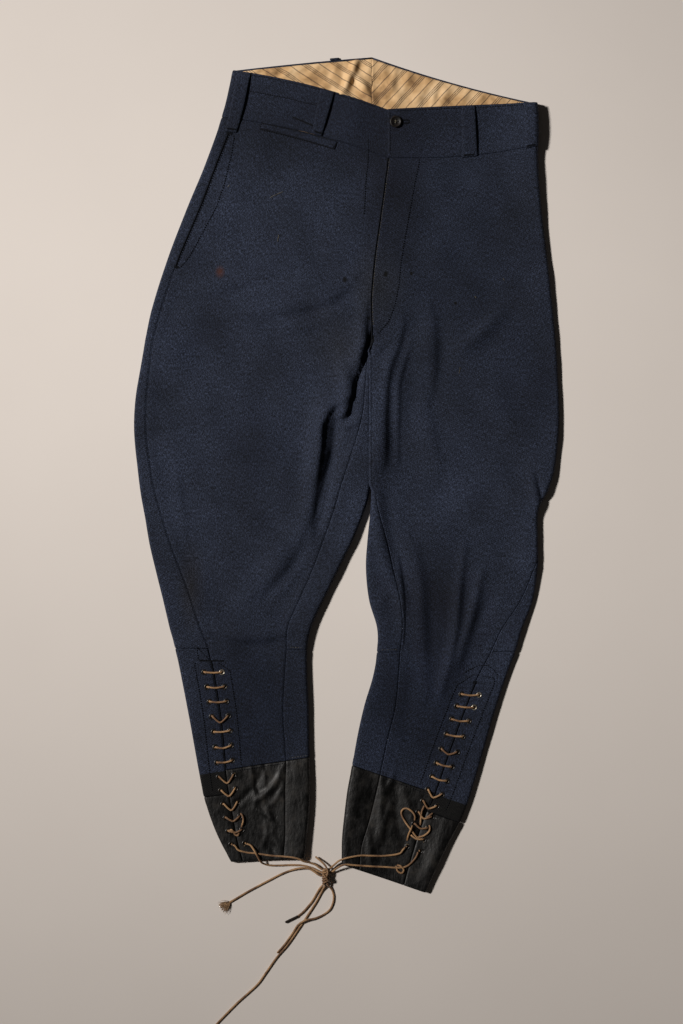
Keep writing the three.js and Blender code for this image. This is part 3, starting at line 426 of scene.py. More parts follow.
# ---- pressed cloth ---------------------------------------------------
# Both legs and the seat lie flat as they were pressed: an upper and a lower layer with
# a round fold at each side. The front and back pieces meet at seams that lie on top on
# the right leg, and under the side fold above the knee on the left one. The tables give
# one row for each section across the garment: at is the place down the leg; outer is
# the side fold; front and back are where the upper and lower layers end towards the
# middle; outseam and inseam are how far the seams lie in from the folds; wrap is how
# far the back is turned up round the inner fold; the lifts are how far folds stand up.
COLUMNS = ("at outer_x outer_y front_x front_y back_x back_y outseam inseam wrap "
           "lift_out lift_in lap bow_front bow_back").split()
RIGHT_TABLE = np.array([
    (0, -142, 505, 51, 456, 32, 522, 12, -12, 0, 1, 0, 0, 6, 1),
    (60, -156, 446, 51, 396, 32, 456, 15, -12, 0, 1, 0, 0, 7, 0),
    (105, -176, 389, 47, 362, 32, 406, 14, -12, 0, 1, 0, 0, 3, 0),
    (156, -200, 331, 41, 318, 32, 349, 16, -12, 0, 1, 0, 0, 0, 0),
    (214, -224, 268, 34, 266, 31, 287, 14, -12, 0, 1, 0, 0, 0, 0),
    (268, -243, 208, 30, 218, 31, 228, 13, -4, 0, 1, 0, 0, 0, 0),
    (305, -251, 171, 31, 181, 31, 183, 11, 0.4, 0.1, 1, 0, 0, 0, 0),
    (324, -254, 153, 31, 161, 31, 161, 11, 3, 0.5, 1, 1, 0, 0, 0),
    (340, -257, 136, 31, 146, 31, 146, 12, 5, 1, 1, 3, 0, 0, 0),
    (380, -264, 93, 31, 108, 31, 108, 15, 8, 1, 1, 5, 0, 0, 0),
    (419, -265.5, 53, 31, 71, 31, 71, 16, 12, 1, 1, 6, 0, 0, 0),
    (467, -261, 6, 31, 21, 31, 21, 17, 27, 1, 1, 5, 0, 0, 0),
    (500, -257, -26, 30, -13, 30, -13, 19, 37, 1, 1, 4, 0, 0, 0),
    (527, -252, -53, 24, -41, 24, -41, 22, 39, 1, 1, 4, 0, 0, 0),
    (565, -246, -88, 8, -82, 8, -82, 27, 37, 1, 1, 4, 0, 0, 0),
    (600, -238, -122, -9, -117, -9, -117, 32, 33, 1, 1, 5, 0, 0, 0),
    (637, -229, -158, -27, -154, -27, -154, 36, 31, 1, 1, 5, 0, 0, 0),
    (671, -221, -192, -43, -189, -43, -189, 39, 30, 1, 1, 5, 0, 0, 0),
    (699, -214, -217, -49, -219, -49, -219, 42, 26, 1, 1, 4, 0, 0, 0),
    (775, -198, -297, -47, -292, -47, -292, 40, 32, 1, 1, 3, 0, 0, 0),
    (844, -184, -374, -46, -353, -46, -353, 34, 30, 1, 1, 3, 0, 0, 0),
    (875, -178, -403, -45, -386, -45, -386, 32, 32, 1, 1, 4, 0, 0, 0),
    (906, -169, -432, -46, -419, -46, -419, 28, 31, 1, 1, 4, 0, 0, 0),
    (935, -158, -458, -49, -450, -49, -450, 22, 28, 1, 1, 4, 0, 0, 0),
    (962, -144, -484, -52, -479, -52, -479, 15, 27, 1, 1, 4, 0, 0, 0)])
LEFT_TABLE = np.array([
    (0, 238, 464, 51, 456, 32, 522, -12, 0.2, 0, 8, 0, 2.8, 1, -4),
    (60, 239, 411, 51, 396, 32, 456, -12, 0.2, 0, 8, 0, 2.8, -6, 0),
    (105, 240, 380, 47, 362, 32, 406, -12, 0.2, 0, 6, 0, 2.1, -2, 0),
    (156, 244, 328, 41, 318, 32, 349, -12, 0.2, 0, 4, 0, 2.1, 0, 0),
    (214, 251, 270, 34, 266, 31, 287, -12, 0.2, 0, 3, 0, 2.1, 0, 0),
    (268, 257, 214, 30, 218, 31, 228, -12, 0.2, 0, 2, 0, 2.1, 0, 0),
    (305, 261, 174, 31, 181, 31, 183, -12, 0.4, 0.1, 2, 0, 1.9, 0, 0),
    (324, 263, 149, 31, 161, 31, 161, -12, 3, 0.5, 2, 1, 0, 0, 0),
    (340, 264, 129, 31, 146, 31, 146, -12, 5, 1, 2, 3, 0, 0, 0),
    (380, 265.7, 93, 31, 108, 31, 108, -12, 5, 1, 2, 4, 0, 0, 0),
    (419, 265.5, 56, 31, 71, 31, 71, -12, 5, 1, 2, 5, 0, 0, 0),
    (467, 260, 6, 31, 21, 31, 21, -12, 5, 1, 3, 5, 0, 0, 0),
    (500, 251, -22, 31, -13, 31, -13, -12, 5, 1, 6, 5, 0, 0, 0),
    (527, 240, -44, 30, -41, 30, -41, -12, 9, 1, 5, 5, 0, 0, 0),
    (565, 239, -82, 26, -82, 26, -82, -6, 24, 1, 3, 4, 0, 0, 0),
    (600, 239, -114, 24, -117, 24, -117, 4, 34, 1, 3, 3, 0, 0, 0),
    (637, 233, -157, 28, -157, 28, -157, 16, 39, 1, 2, 3, 0, 0, 0),
    (671, 220, -192, 38, -192, 38, -192, 26, 32, 1, 2, 3, 0, 0, 0),
    (699, 211, -221, 38, -222, 38, -222, 31, 29, 1, 2, 3, 0, 0, 0),
    (730, 199, -254, 33, -252, 33, -252, 36, 32, 1, 2, 3, 0, 0, 0),
    (775, 183, -304, 22, -289, 22, -289, 39, 39, 1, 2, 3, 0, 0, 0),
    (810, 169, -353, 14, -324, 14, -324, 42, 38, 1, 2, 3, 0, 0, 0),
    (855, 151, -412, 7, -363, 7, -363, 44, 37, 1, 2, 3, 0, 0, 0),
    (886, 138, -442, 1, -394, 1, -394, 44, 36, 1, 2, 3, 0, 0, 0),
    (916, 124, -469, -3, -426, -3, -426, 39, 32, 1, 2, 3, 0, 0, 0),
    (945, 111, -497, -6, -457, -6, -457, 35, 26, 1, 2, 3, 0, 0, 0),
    (972, 99, -522.5, -6, -487, -6, -487, 30, 23, 1, 2, 3, 0, 0, 0)])
RIGHT = dict(name="right", side=1, table=RIGHT_TABLE, knee=699, cuff_front=844,
             cuff_outer=875, hem=962, first_eyelet=728, last_eyelet=940, lean=0)
LEFT = dict(name="left", side=-1, table=LEFT_TABLE, knee=699, cuff_front=855,
            cuff_outer=878, hem=972, first_eyelet=751, last_eyelet=927, lean=1)
WAIST_SEAM = 60
CLOTH = 1.5
SKIN = CLOTH / 2
SEAM_GAP = 0.3
HALF_GAP = SEAM_GAP / 2
SLIT_GAP = 0.6
LAYER_RISE = 4.9
FOLD = LAYER_RISE / 2
LOWER_LAYER = CLOTH / 2
ROLL = 0.2
FADE = 30
LAP_REACH = 70
DEEPEST = -1.6
LEAN_REACH, LEAN_RISE, LEAN_FADE = 5.5, 2.4, 14
LEAN_FROM, LEAN_TO, LEAN_EASE = 318, 512, 16       # where the left leg leans, and how soon
CALM_WAIST, CALM_FROM, CALM_EASE = 90, 690, 40     # where seams hold the cloth flat

# Creases of the upper layer: from (x1, y1) to (x2, y2), bowed sideways, width to either
# side, height above (a ridge) or below (a trough) the layer.
CREASES = [
    # crotch and inner thighs
    (10, 143, -8, 6, 0, 34, 6), (-4, 130, -1, 84, 3, 9, 6), (25, 152, 3, 78, -6, 8, -9),
    (-12, 77, -37, -57, 4, 7, -7), (-27, 82, -52, -60, 3, 13, 3), (-27, 63, 7, 83, 2, 6, 3),
    (57, 154, 42, 18, 8, 13, 5), (62, 118, 57, 37, -2, 9, -4), (36, -27, 69, -160, -8, 8, 3),
    (52, -30, 84, -150, -8, 9, -2),
    # right thigh
    (-166, 223, -76, 251, 3, 13, -1.5), (-96, 197, 2, 223, -4, 11, -1.8),
    (-110, 232, -40, 240, 3, 14, 1.5), (-58, -99, -99, -148, 3, 9, -2),
    (-44, -92, -86, -146, 3, 9, 2), (-166, -206, -80, -206, -4, 11, -1.4),
    # left thigh
    (117, 199, 111, 121, 3, 13, -1.8), (188, 197, 149, 163, 3, 11, 3),
    (137, -141, 132, -231, 3, 10, 3), (161, -134, 122, -258, 8, 10, 3),
    # the fronts ride over the pleat in the back's lining
    (10, 455, 2, 430, 0, 20, 3)]
# Finer ones, too shallow to matter in the solids.
FINE_CREASES = [
    # side edges of the thighs
    (-263, 117, -217, 89, 2, 4, -0.9), (-262, 108, -226, 92, -2, 4, 0.8),
    (-258, 40, -215, 52, 2, 7, -0.7), (237, -7, 243, -37, 1, 4, -2.2),
    (262, 60, 214, 74, 3, 7, -0.7), (250, -12, 206, 8, -3, 6, -0.9),
    # crotch, fanning out from the end of the fly
    (24, 168, -52, 214, 4, 9, -1.3), (22, 158, -64, 176, -4, 8, -1.3),
    (20, 148, -58, 138, 5, 8, 1.2), (40, 150, 92, 190, -4, 10, -1.2),
    (44, 138, 98, 150, 3, 10, 1.1), (6, 60, -34, 24, 3, 7, 1.3), (0, 36, -46, -20, 3, 7, -1.2),
    # right front
    (-150, 330, -96, 300, 4, 16, -0.8), (-60, 330, -20, 250, -4, 14, -0.8),
    (-190, 60, -120, 30, 6, 16, -0.8), (-175, -30, -110, -70, -5, 15, 0.8),
    (-120, -40, -70, -85, 4, 11, -0.9), (-205, -120, -150, -150, 4, 12, -0.7),
    (-190, -170, -120, -186, 3, 9, 0.8), (-100, -176, -62, -205, -2, 8, 0.9),
    (-160, -225, -90, -232, 3, 8, -0.6), (-120, -260, -80, -330, 3, 9, 0.6),
    # left front
    (90, 330, 150, 300, -5, 18, -0.8), (180, 300, 226, 250, 4, 16, 0.8),
    (130, 60, 190, 20, -6, 18, -0.8), (100, -20, 160, -60, 5, 15, 0.8),
    (90, -90, 130, -150, -4, 12, -0.9), (176, -60, 215, -110, -3, 12, -0.8),
    (190, -130, 150, -205, 4, 8, -1.0), (106, -160, 98, -250, 3, 9, -0.9),
    (146, -210, 110, -300, 4, 9, 0.9), (60, -200, 44, -270, 2, 8, 0.7),
    (88, -240, 76, -330, -3, 8, -0.6),
    # right cuff: crumpled across the instep, with a smooth strip behind the lacing
    (-103, -362, -137, -411, 5, 4, -1.4), (-79, -364, -113, -408, 4, 3.4, 1.6),
    (-115, -374, -93, -436, -4, 4, -1.2), (-118, -392, -92, -446, 5, 4, 1.5),
    (-121, -362, -117, -390, 2, 3, 1.4), (-67, -385, -66, -412, 2, 8, 0.9),
    (-79, -388, -99, -418, 2, 3, 1.2), (-106, -364, -102, -388, 1, 2.6, 1.1),
    (-100, -436, -104, -462, 2, 3, 1.1), (-68, -448, -66, -470, 2, 7, 0.8),
    (-104, -456, -90, -474, 2, 4, -1.1), (-95, -450, -82, -472, 2, 4, 1.2),
    (-152, -404, -140, -452, 3, 4, -1.1), (-114, -418, -88, -438, 3, 3, 1.6),
    (-110, -404, -84, -380, -3, 4, 1.8), (-66, -362, -62, -376, 1, 4, 1.2),
    # left cuff: long soft folds down the shin
    (45, -382, 38, -458, 2, 5, 1.8), (33, -376, 22, -466, 3, 5, -1.2),
    (56, -412, 43, -456, -2, 3.6, 1.5), (62, -388, 74, -466, -5, 6, -1.4),
    (70, -398, 84, -444, 3, 4.6, 1.4), (124, -436, 100, -502, 2, 7, 1.8),
    (98, -420, 92, -470, -3, 4, -1.1), (12, -380, 4, -440, 2, 6, 1.2),
    (58, -372, 50, -392, 2, 4, 1.6), (24, -440, 30, -486, 2, 5, 1.6),
    (110, -470, 96, -500, 2, 5, 1.5)]
# The deepest folds, pressed over to one side: the points of each one's line with its
# height there, and how far it falls away on its steep side (the left hand, going along)
# and on its gentle side.
PRESSED_FOLDS = [
    # centre seam, folded over below the fly
    ([(25, 214, 1.5), (22, 192, 4.5), (22, 164, 7), (16, 138, 10), (8, 117, 10),
      (4, 94, 8), (-3, 74, 5)], 3.4, 10),
    ([(-4, 91, 3), (-14, 87, 5), (-24, 78, 7), (-32, 62, 8), (-33, 37, 6.5), (-36, 16, 5),
      (-39, -7, 3.5), (-43, -32, 2), (-41, -69, 1)], 3.6, 13),
    ([(-14, 61, 2), (-2, 59, 3.6), (13, 65, 1.5)], 5, 2.4),
    # left crotch
    ([(72, 191, 1.5), (64, 158, 2.8), (54, 136, 3.6), (50, 112, 3.6), (48, 68, 3.2), (48,
      16, 2)], 3, 9),
    ([(82, 168, 0.8), (71, 136, 2), (65, 112, 2.4), (64, 68, 2.2), (64, 16, 1)], 2, 5),
    ([(107, 198, 1.5), (109, 162, 3), (108, 128, 3), (104, 98, 1.5)], 6, 14),
    ([(97, 98, 1), (104, 53, 1.8), (114, 6, 1)], 8, 16),
    ([(53, 168, 1), (42, 157, 2), (31, 152, 1)], 3, 6),
    # right thigh
    ([(-73, 258, 1), (-127, 242, 2.2), (-173, 229, 1.4)], 7, 22),
    ([(6, 241, 1.5), (-21, 219, 3.6), (-58, 209, 3.4), (-106, 202, 1.5)], 6, 20),
    ([(-26, 192, 1.2), (-51, 184, 1.8), (-76, 181, 1)], 6, 12),
    ([(-63, -89, 2), (-83, -117, 4.6), (-108, -144, 2.5)], 10, 20),
    ([(-80, -200, 1.6), (-100, -204, 4.4), (-128, -205, 4.4), (-156, -200, 1.5)], 5, 16),
    ([(-212, 6, 0.6), (-208, -32, 1.1), (-201, -69, 0.6)], 4, 9),
    # left knee
    ([(64, -102, 1.2), (69, -142, 2.4), (71, -174, 2.4), (70, -209, 1.2)], 2, 6),
    ([(83, -88, 1.5), (91, -132, 3), (94, -182, 3), (97, -232, 2.6), (99, -274, 1.2)], 8,
      14),
    ([(147, -88, 1.2), (141, -144, 2.8), (136, -194, 3.2), (128, -232, 3), (117, -274,
      1.5)], 5, 6),
    ([(169, -122, 1.4), (162, -154, 2.6), (152, -192, 2.4), (142, -226, 1.2)], 6, 5),
    ([(38, -173, 1), (43, -161, 1.8), (49, -149, 1)], 3, 3),
    # left hip and knee
    ([(233, 1, 1.5), (237, -17, 3), (241, -39, 2.5)], 2.2, 9),
    ([(192, 198, 0.8), (172, 183, 1.8), (149, 163, 0.8)], 7, 7)]


def ease(t):
    """From 0 to 1 with a level start and end."""
    t = np.clip(t, 0, 1)
    return t ** 2 * (3 - 2 * t)


def mix(a, b, t):
    return a + (b - a) * t


def pressed_height(x, y):
    """Height that the pressed folds add at (x, y): along each line a crest, with a bell
    curve to either side that has its own width."""
    height = np.zeros(np.shape(x))
    for line, steep, gentle in PRESSED_FOLDS:
        nearest, away, tall = np.full(np.shape(x), 1e9), 0 * x, 0 * x
        for (px, py, tall_p), (qx, qy, tall_q) in zip(line[:-1], line[1:]):
            dx, dy = qx - px, qy - py
            t = np.clip(((x - px) * dx + (y - py) * dy) / (dx * dx + dy * dy), 0, 1)
            off_x, off_y = x - px - t * dx, y - py - t * dy
            far = np.hypot(off_x, off_y)
            closer = far < nearest
            nearest = np.where(closer, far, nearest)
            away = np.where(closer, off_y * dx - off_x * dy, away)
            tall = np.where(closer, mix(tall_p, tall_q, t), tall)
        height += tall * np.exp(-(nearest / np.where(away > 0, steep, gentle)) ** 2)
    return height


def leg_at(leg, at):
    """Every column of a leg's table at the places at: cubic pieces through the rows,
    whose slope at a row is that of the line through its two neighbours."""
    table = leg["table"]
    last = len(table) - 1
    i = np.clip(np.searchsorted(table[:, 0], at, side="left") - 1, 0, last - 1)
    p, q = table[i], table[i + 1]
    before, after = table[np.maximum(i - 1, 0)], table[np.minimum(i + 2, last)]
    span = q[..., :1] - p[..., :1]
    t = (np.asarray(at, float)[..., None] - p[..., :1]) / span
    slope_p = (q - before) / (q[..., :1] - before[..., :1]) * span
    slope_q = (after - p) / (after[..., :1] - p[..., :1]) * span
    values = cubic(p, q, slope_p, slope_q, t)
    row = {name: values[..., k] for k, name in enumerate(COLUMNS)}
    row["wrap"] = np.clip(row["wrap"], 0, 1)
    row["lean"] = (leg["lean"] * ease((row["at"] - LEAN_FROM) / LEAN_EASE)
                   * ease((LEAN_TO - row["at"]) / LEAN_EASE))
    return row


def crease_height(creases, x, y):
    """Height that creases add at (x, y): a bell across each bowed line, strongest at
    its middle and fading past its ends."""
    height = np.zeros(np.shape(x))
    for x1, y1, x2, y2, bow, width, tall in creases:
        length = math.hypot(x2 - x1, y2 - y1)
        dx, dy = (x2 - x1) / length, (y2 - y1) / length
        along = ((x - x1) * dx + (y - y1) * dy) / length
        t = np.clip(along, 0, 1)
        across = (x - x1) * -dy + (y - y1) * dx - bow * 4 * t * (1 - t)
        past = np.abs(along - t) * length / (1.5 * width)
        middle = 0.6 + 0.4 * np.sin(math.pi * t)
        height += tall * middle * np.exp(-(across / width) ** 2 - past ** 2)
    return height


rng = np.random.default_rng(11)
RIPPLES = [(2 * math.pi / length * math.cos(way), 2 * math.pi / length * math.sin(way),
            start, tall)
           for length, way, start, tall in zip(
               rng.uniform(38, 130, 14), rng.uniform(0, math.pi, 14),
               rng.uniform(0, 6.3, 14), rng.uniform(0.08, 0.24, 14))]


def ripple(x, y):
    """Slight unevenness of worn cloth: long waves in many directions, added up."""
    return sum(tall * np.sin(kx * x + ky * y + start + 0.8 * np.sin(y / 47 + start))
               for kx, ky, start, tall in RIPPLES)


def cloth_point(row, distance, z, top, from_inner=False):
    """A point on the middle of the wall: distance in from the side fold along the
    section's line (or from its middle end), with the lift of the folds, the creases and
    the fly lap added to the upper layer."""
    end_x = mix(row["back_x"], row["front_x"], top)
    end_y = mix(row["back_y"], row["front_y"], top)
    width = np.hypot(end_x - row["outer_x"], end_y - row["outer_y"])
    t = 1 - distance / width if from_inner else distance / width
    bow = mix(row["bow_back"], row["bow_front"], top) * 4 * t * (1 - t)
    x = mix(row["outer_x"], end_x, t)
    y = mix(row["outer_y"], end_y, t) + bow
    near_fold = np.exp(-(t * width / FADE) ** 2)
    near_middle = np.exp(-((1 - t) * width / FADE) ** 2)
    lift = (row["lift_out"] * near_fold + row["lift_in"] * near_middle
            + crease_height(CREASES, x, y))
    lap = row["lap"] * (1 - ease((1 - t) * width / LAP_REACH))
    held = ease(row["at"] / CALM_WAIST) * (1 - 0.7 * ease((row["at"] - CALM_FROM) / CALM_EASE))
    fine = crease_height(FINE_CREASES, x, y) + held * ripple(x, y) + pressed_height(x, y)
    # the left leg's inner edge leans over the right leg's below the crotch
    lean = row["lean"] * np.exp(-((1 - t) * width / LEAN_FADE) ** 2)
    x = x - LEAN_REACH * lean * ease(2 * top - 1)
    rise = np.maximum(lift, DEEPEST) + lap + fine + LEAN_RISE * lean
    return np.stack([x, y, z + top * rise], -1)


def layer_width(row, layer):
    """How wide the front or back layer is, from the side fold's line to its other end."""
    return np.hypot(row[layer + "_x"] - row["outer_x"], row[layer + "_y"] - row["outer_y"])


def fold_radius(lift):
    return FOLD + ROLL * np.maximum(lift, 0)


def half_turn(row):
    return math.pi / 4 * (fold_radius(row["lift_out"]) + FOLD)


def side_place(row, s):
    """The way round the side fold as (distance, height, top): s is measured from the
    outermost line, over the top where positive and underneath where negative."""
    radius = fold_radius(row["lift_out"])
    half = half_turn(row)
    angle = np.clip(s / half, -1, 1) * math.pi / 2
    return (SKIN + radius * (1 - np.cos(angle)) + np.maximum(np.abs(s) - half, 0),
            LOWER_LAYER + FOLD * (1 + np.sin(angle)), (1 + np.sin(angle)) / 2)


def strip_length(row):
    return np.maximum(row["inseam"] - HALF_GAP - SKIN - fold_radius(row["lift_in"]), 0.4)


def inner_place(row, q):
    """The way of the back piece round the inner fold as (distance from the middle end,
    height, top): q runs from the last flat line through the turn and on, on top."""
    turn = np.maximum(row["wrap"], 0.02) * math.pi
    arc = math.pi * FOLD
    radius = arc / turn
    stretch = fold_radius(row["lift_in"]) / FOLD
    angle = np.minimum(q, arc) / radius
    past = np.maximum(q - arc, 0)
    reach = radius * np.sin(angle) * stretch + past * np.cos(turn)
    rise = radius * (1 - np.cos(angle)) + past * np.sin(turn)
    strip_end = radius * np.sin(turn) * stretch + strip_length(row) * np.cos(turn)
    furthest = np.where(turn > math.pi / 2, radius * stretch, strip_end)
    inset = HALF_GAP + SKIN * np.sin(np.minimum(turn, math.pi / 2))
    return (inset + furthest - reach, LOWER_LAYER + rise, np.clip(rise / LAYER_RISE, 0, 1))


NUDGE = 0.4


def cloth_spots(leg, at, place_of, facing):
    """Points on the middle of the cloth, their outward normals and the ways across it: a
    normal is square to a step down the leg and to one across it. place_of(row, step)
    gives the points for a row, so many millimetres past their own places."""
    def point(where, step):
        return place_of(leg_at(leg, where), step)
    down = point(at + 1, 0) - point(at - 1, 0)
    across = point(at, NUDGE) - point(at, -NUDGE)
    return point(at, 0), unit(np.cross(down, across)) * facing, across


EDGE_ROUND = 1.1       # how far a turned-in seam edge takes to reach its full thickness
ALLOWANCE = 10         # width of the seam allowance that thickens the cloth by a seam
ALLOWANCE_RISE = 0.3


def wall(points, normals, facing, edge, uv, outer, inner):
    """The shape of a closed wall through a grid of points: outwards by outer, inwards by
    inner. Near its rim, edge millimetres away, it thins to a round edge, and the seam
    allowance under it lifts it a little."""
    rows, columns = edge.shape
    near = np.clip(edge / EDGE_ROUND, 0, 1)
    full = 0.2 + 0.8 * np.sqrt(1 - (1 - near) ** 2)
    lift = ALLOWANCE_RISE * np.clip(edge / 2, 0, 1) * np.exp(-(edge / ALLOWANCE) ** 6)
    out = points + normals * (outer * full + lift)[..., None]
    into = points - normals * (inner * full)[..., None]
    i, j = np.arange(rows - 1)[:, None], np.arange(columns - 1)[None, :]
    a = i * columns + j
    skin = np.stack([a, a + columns, a + columns + 1, a + 1], -1).reshape(-1, 4)
    size = rows * columns
    lining_side = skin[:, ::-1] + size
    top, low = np.arange(columns - 1), np.arange(columns - 1) + (rows - 1) * columns
    left, right = np.arange(rows - 1) * columns, np.arange(rows - 1) * columns + columns - 1
    rim = np.concatenate([
        np.stack([top, top + 1, top + 1 + size, top + size], -1),
        np.stack([low, low + size, low + 1 + size, low + 1], -1),
        np.stack([left, left + size, left + columns + size, left + columns], -1),
        np.stack([right, right + columns, right + columns + size, right + size], -1)])
    faces = np.concatenate([skin, lining_side, rim])
    if facing < 0:
        faces = faces[:, ::-1]
    flat = np.concatenate([uv.reshape(-1, 2)] * 2)
    return np.concatenate([out.reshape(-1, 3), into.reshape(-1, 3)]), [faces], [flat[faces]]


EDGE_STEPS = (0, 0.3, 0.8, 1.6, 3)


def rows_between(start, end, step):
    """Places down a panel: close together by both ends, and about step apart between."""
    count = max(int((end - start) / step), 3)
    middle = np.linspace(start + EDGE_STEPS[-1], end - EDGE_STEPS[-1], count)
    return np.concatenate([start + np.array(EDGE_STEPS[:-1]), middle,
                           end - np.array(EDGE_STEPS[-2::-1])])


FOLD_STEPS = [4.2 + 1.4 * k for k in range(14)]


def columns_across(turned_under, step_count):
    """How each column of a front is placed: a share of the whole width, and so many
    millimetres past it. Close together by both edges, and round the fold where the
    front is turned under."""
    near = list(EDGE_STEPS) + (FOLD_STEPS if turned_under else [])
    far = EDGE_STEPS[::-1]
    middle = np.linspace(0, 1, step_count + 2)[1:-1]
    share = np.concatenate([np.zeros(len(near)), middle, np.ones(len(far))])
    past = np.concatenate([near, near[-1] * (1 - middle) - far[0] * middle, -np.array(far)])
    return share, past


def front_place(across):
    """place_of for a front piece: from the outseam, round the fold where it is turned
    under, and over the top to the fly line or the inseam."""
    share, past = across

    def place_of(row, step):
        start = row["outseam"] + HALF_GAP
        width = layer_width(row, "front")
        end = (half_turn(row) + width - row["inseam"] - HALF_GAP - SKIN
               - fold_radius(row["lift_out"]))
        room = np.minimum(1, (end - start) / (2 * EDGE_STEPS[-1] + past.max()))
        s = start + (end - start) * share + room * past
        place_of.edge = np.minimum(s - start, end - s)
        place_of.across = s
        return cloth_point(row, *side_place(row, s + step))
    return place_of


# Columns of a back piece: along its strip on top, round the side fold, underneath,
# round the inner fold, and along the strip to the inseam.
STRIP = np.array([0, 0.03, 0.08, 0.16, 0.28, 0.42, 0.56, 0.7, 0.85, 1])
TURN = np.linspace(0, 1, 10)[1:]
UNDER = np.linspace(0, 1, 13)[1:]
FOLD_COLUMNS, UNDER_COLUMNS = len(STRIP) + len(TURN), len(UNDER)
BACK_COLUMNS = FOLD_COLUMNS + UNDER_COLUMNS + len(TURN) + len(STRIP) - 1
LEAST_STEP = 0.35


def back_place(seam_gap, opened=False):
    """place_of for a back piece: from the outseam round the side fold, under, and up
    round the inner fold to the inseam, or only to the centre back seam where opened."""
    of_start = np.concatenate([1 - STRIP, 0 * TURN])
    of_half = np.concatenate([STRIP, 1 - 2 * TURN])
    of_arc = np.concatenate([TURN, np.ones(len(STRIP) - 1)])
    of_length = np.concatenate([0 * TURN, 1 - STRIP[-2::-1]])

    def place_of(row, step):
        def only(a, b):
            return {key: v if v.shape[-1] == 1 else v[..., a:b] for key, v in row.items()}
        fold = only(0, FOLD_COLUMNS)
        start = fold["outseam"] + HALF_GAP - seam_gap
        s = np.minimum(start * of_start + half_turn(fold) * of_half,
                       start - LEAST_STEP * np.arange(FOLD_COLUMNS))
        parts = [cloth_point(fold, *side_place(fold, s - step))]
        edge = [start - s]
        under = only(FOLD_COLUMNS, FOLD_COLUMNS + UNDER_COLUMNS)
        start = under["outseam"] + HALF_GAP - seam_gap
        turned = np.minimum(-half_turn(under), start - LEAST_STEP * (FOLD_COLUMNS - 1))
        width = layer_width(under, "back")
        last = width - (HALF_GAP if opened else inner_place(under, 0)[0])
        distance = mix(side_place(under, turned)[0], last, UNDER)
        flat = 0 * distance
        parts.append(cloth_point(under, distance + step, flat + LOWER_LAYER, flat))
        edge.append(last - distance if opened else flat + 50)
        if not opened:
            inner = only(FOLD_COLUMNS + UNDER_COLUMNS, BACK_COLUMNS)
            length = strip_length(inner)
            q = math.pi * FOLD * of_arc + length * of_length
            parts.append(cloth_point(inner, *inner_place(inner, q + step), from_inner=True))
            edge.append(math.pi * FOLD + length - q)
        points = np.concatenate(parts, -2)
        place_of.edge = np.concatenate(edge, -1)
        steps = np.linalg.norm(np.diff(points, axis=-2), axis=-1)
        place_of.across = np.concatenate([0 * steps[..., :1], np.cumsum(steps, -1)], -1)
        return points
    return place_of


def panel(leg, at, place_of, facing, outer, inner):
    """The shape of a piece of cloth on the rows at: a column of places down the leg, or
    a grid where the seam across the leg isn't level."""
    at = at if at.ndim == 2 else at[:, None]
    points, normals, _ = cloth_spots(leg, at, place_of, facing)
    edge, across, at = np.broadcast_arrays(place_of.edge, place_of.across, at)
    edge = np.minimum(edge, np.minimum(at - at[:1], at[-1:] - at))
    return wall(points, normals, facing, edge, np.stack([across, at], -1), outer, inner)


# Where the twill is tinted, by stains and darkening and in places by painted shade: middle,
# half width and height, colour and most of it.
TINTS_AND_KNEE_SHADE = [
    # browned round the fly's end, at the outer knee and by the crotch
    ((38, 236), (38, 64), "#f8ead4", 1.0), ((-194, -140), (20, 66), "#e6ccae", 0.9),
    ((-10, 160), (44, 54), "#dccbb2", 0.6),
    # darker down the fly, over the left thigh, round the calves and the waist; over the left
    # knee, painted shade of its folds
    ((52, 350), (60, 110), "#b4b4bc", 1.1), ((140, 250), (120, 200), "#c9cdd2", 1.2),
    ((232, 105), (54, 96), "#d0d2d8", 1.2), ((-112, 34), (64, 76), "#cfd1d6", 1.2),
    ((-180, 170), (70, 60), "#d6d8dc", 1.0), ((117, -155), (56, 112), "#9fa1a8", 1.2),
    ((-112, -290), (96, 136), "#b6bcc6", 1.6), ((92, -290), (100, 126), "#c8ced8", 1.5),
    ((0, 440), (250, 80), "#c0c3ca", 1.3)]
# a rust mark, and moth nips painted as near-black spots: painted shade in their holes
SPOTS = [((-158, 253), (7, 9), "#43251a", 0.9), ((49, 250), (3.4, 4.6), "#030304", 2),
         ((81, 251), (2.6, 3.2), "#030304", 2), ((-2, 243), (4, 5), "#050508", 1.6),
         ((136, 214), (2.6, 2.6), "#030304", 2), ((28, 195), (3, 3), "#050508", 1.4)]
CLOTH_MARKS_AND_SHADE = [(*mark, "MULTIPLY") for mark in TINTS_AND_KNEE_SHADE] + [(*mark, "MIX") for mark in SPOTS]
TWILL_LINES, TWILL_SLANT = 2.2, math.radians(63)


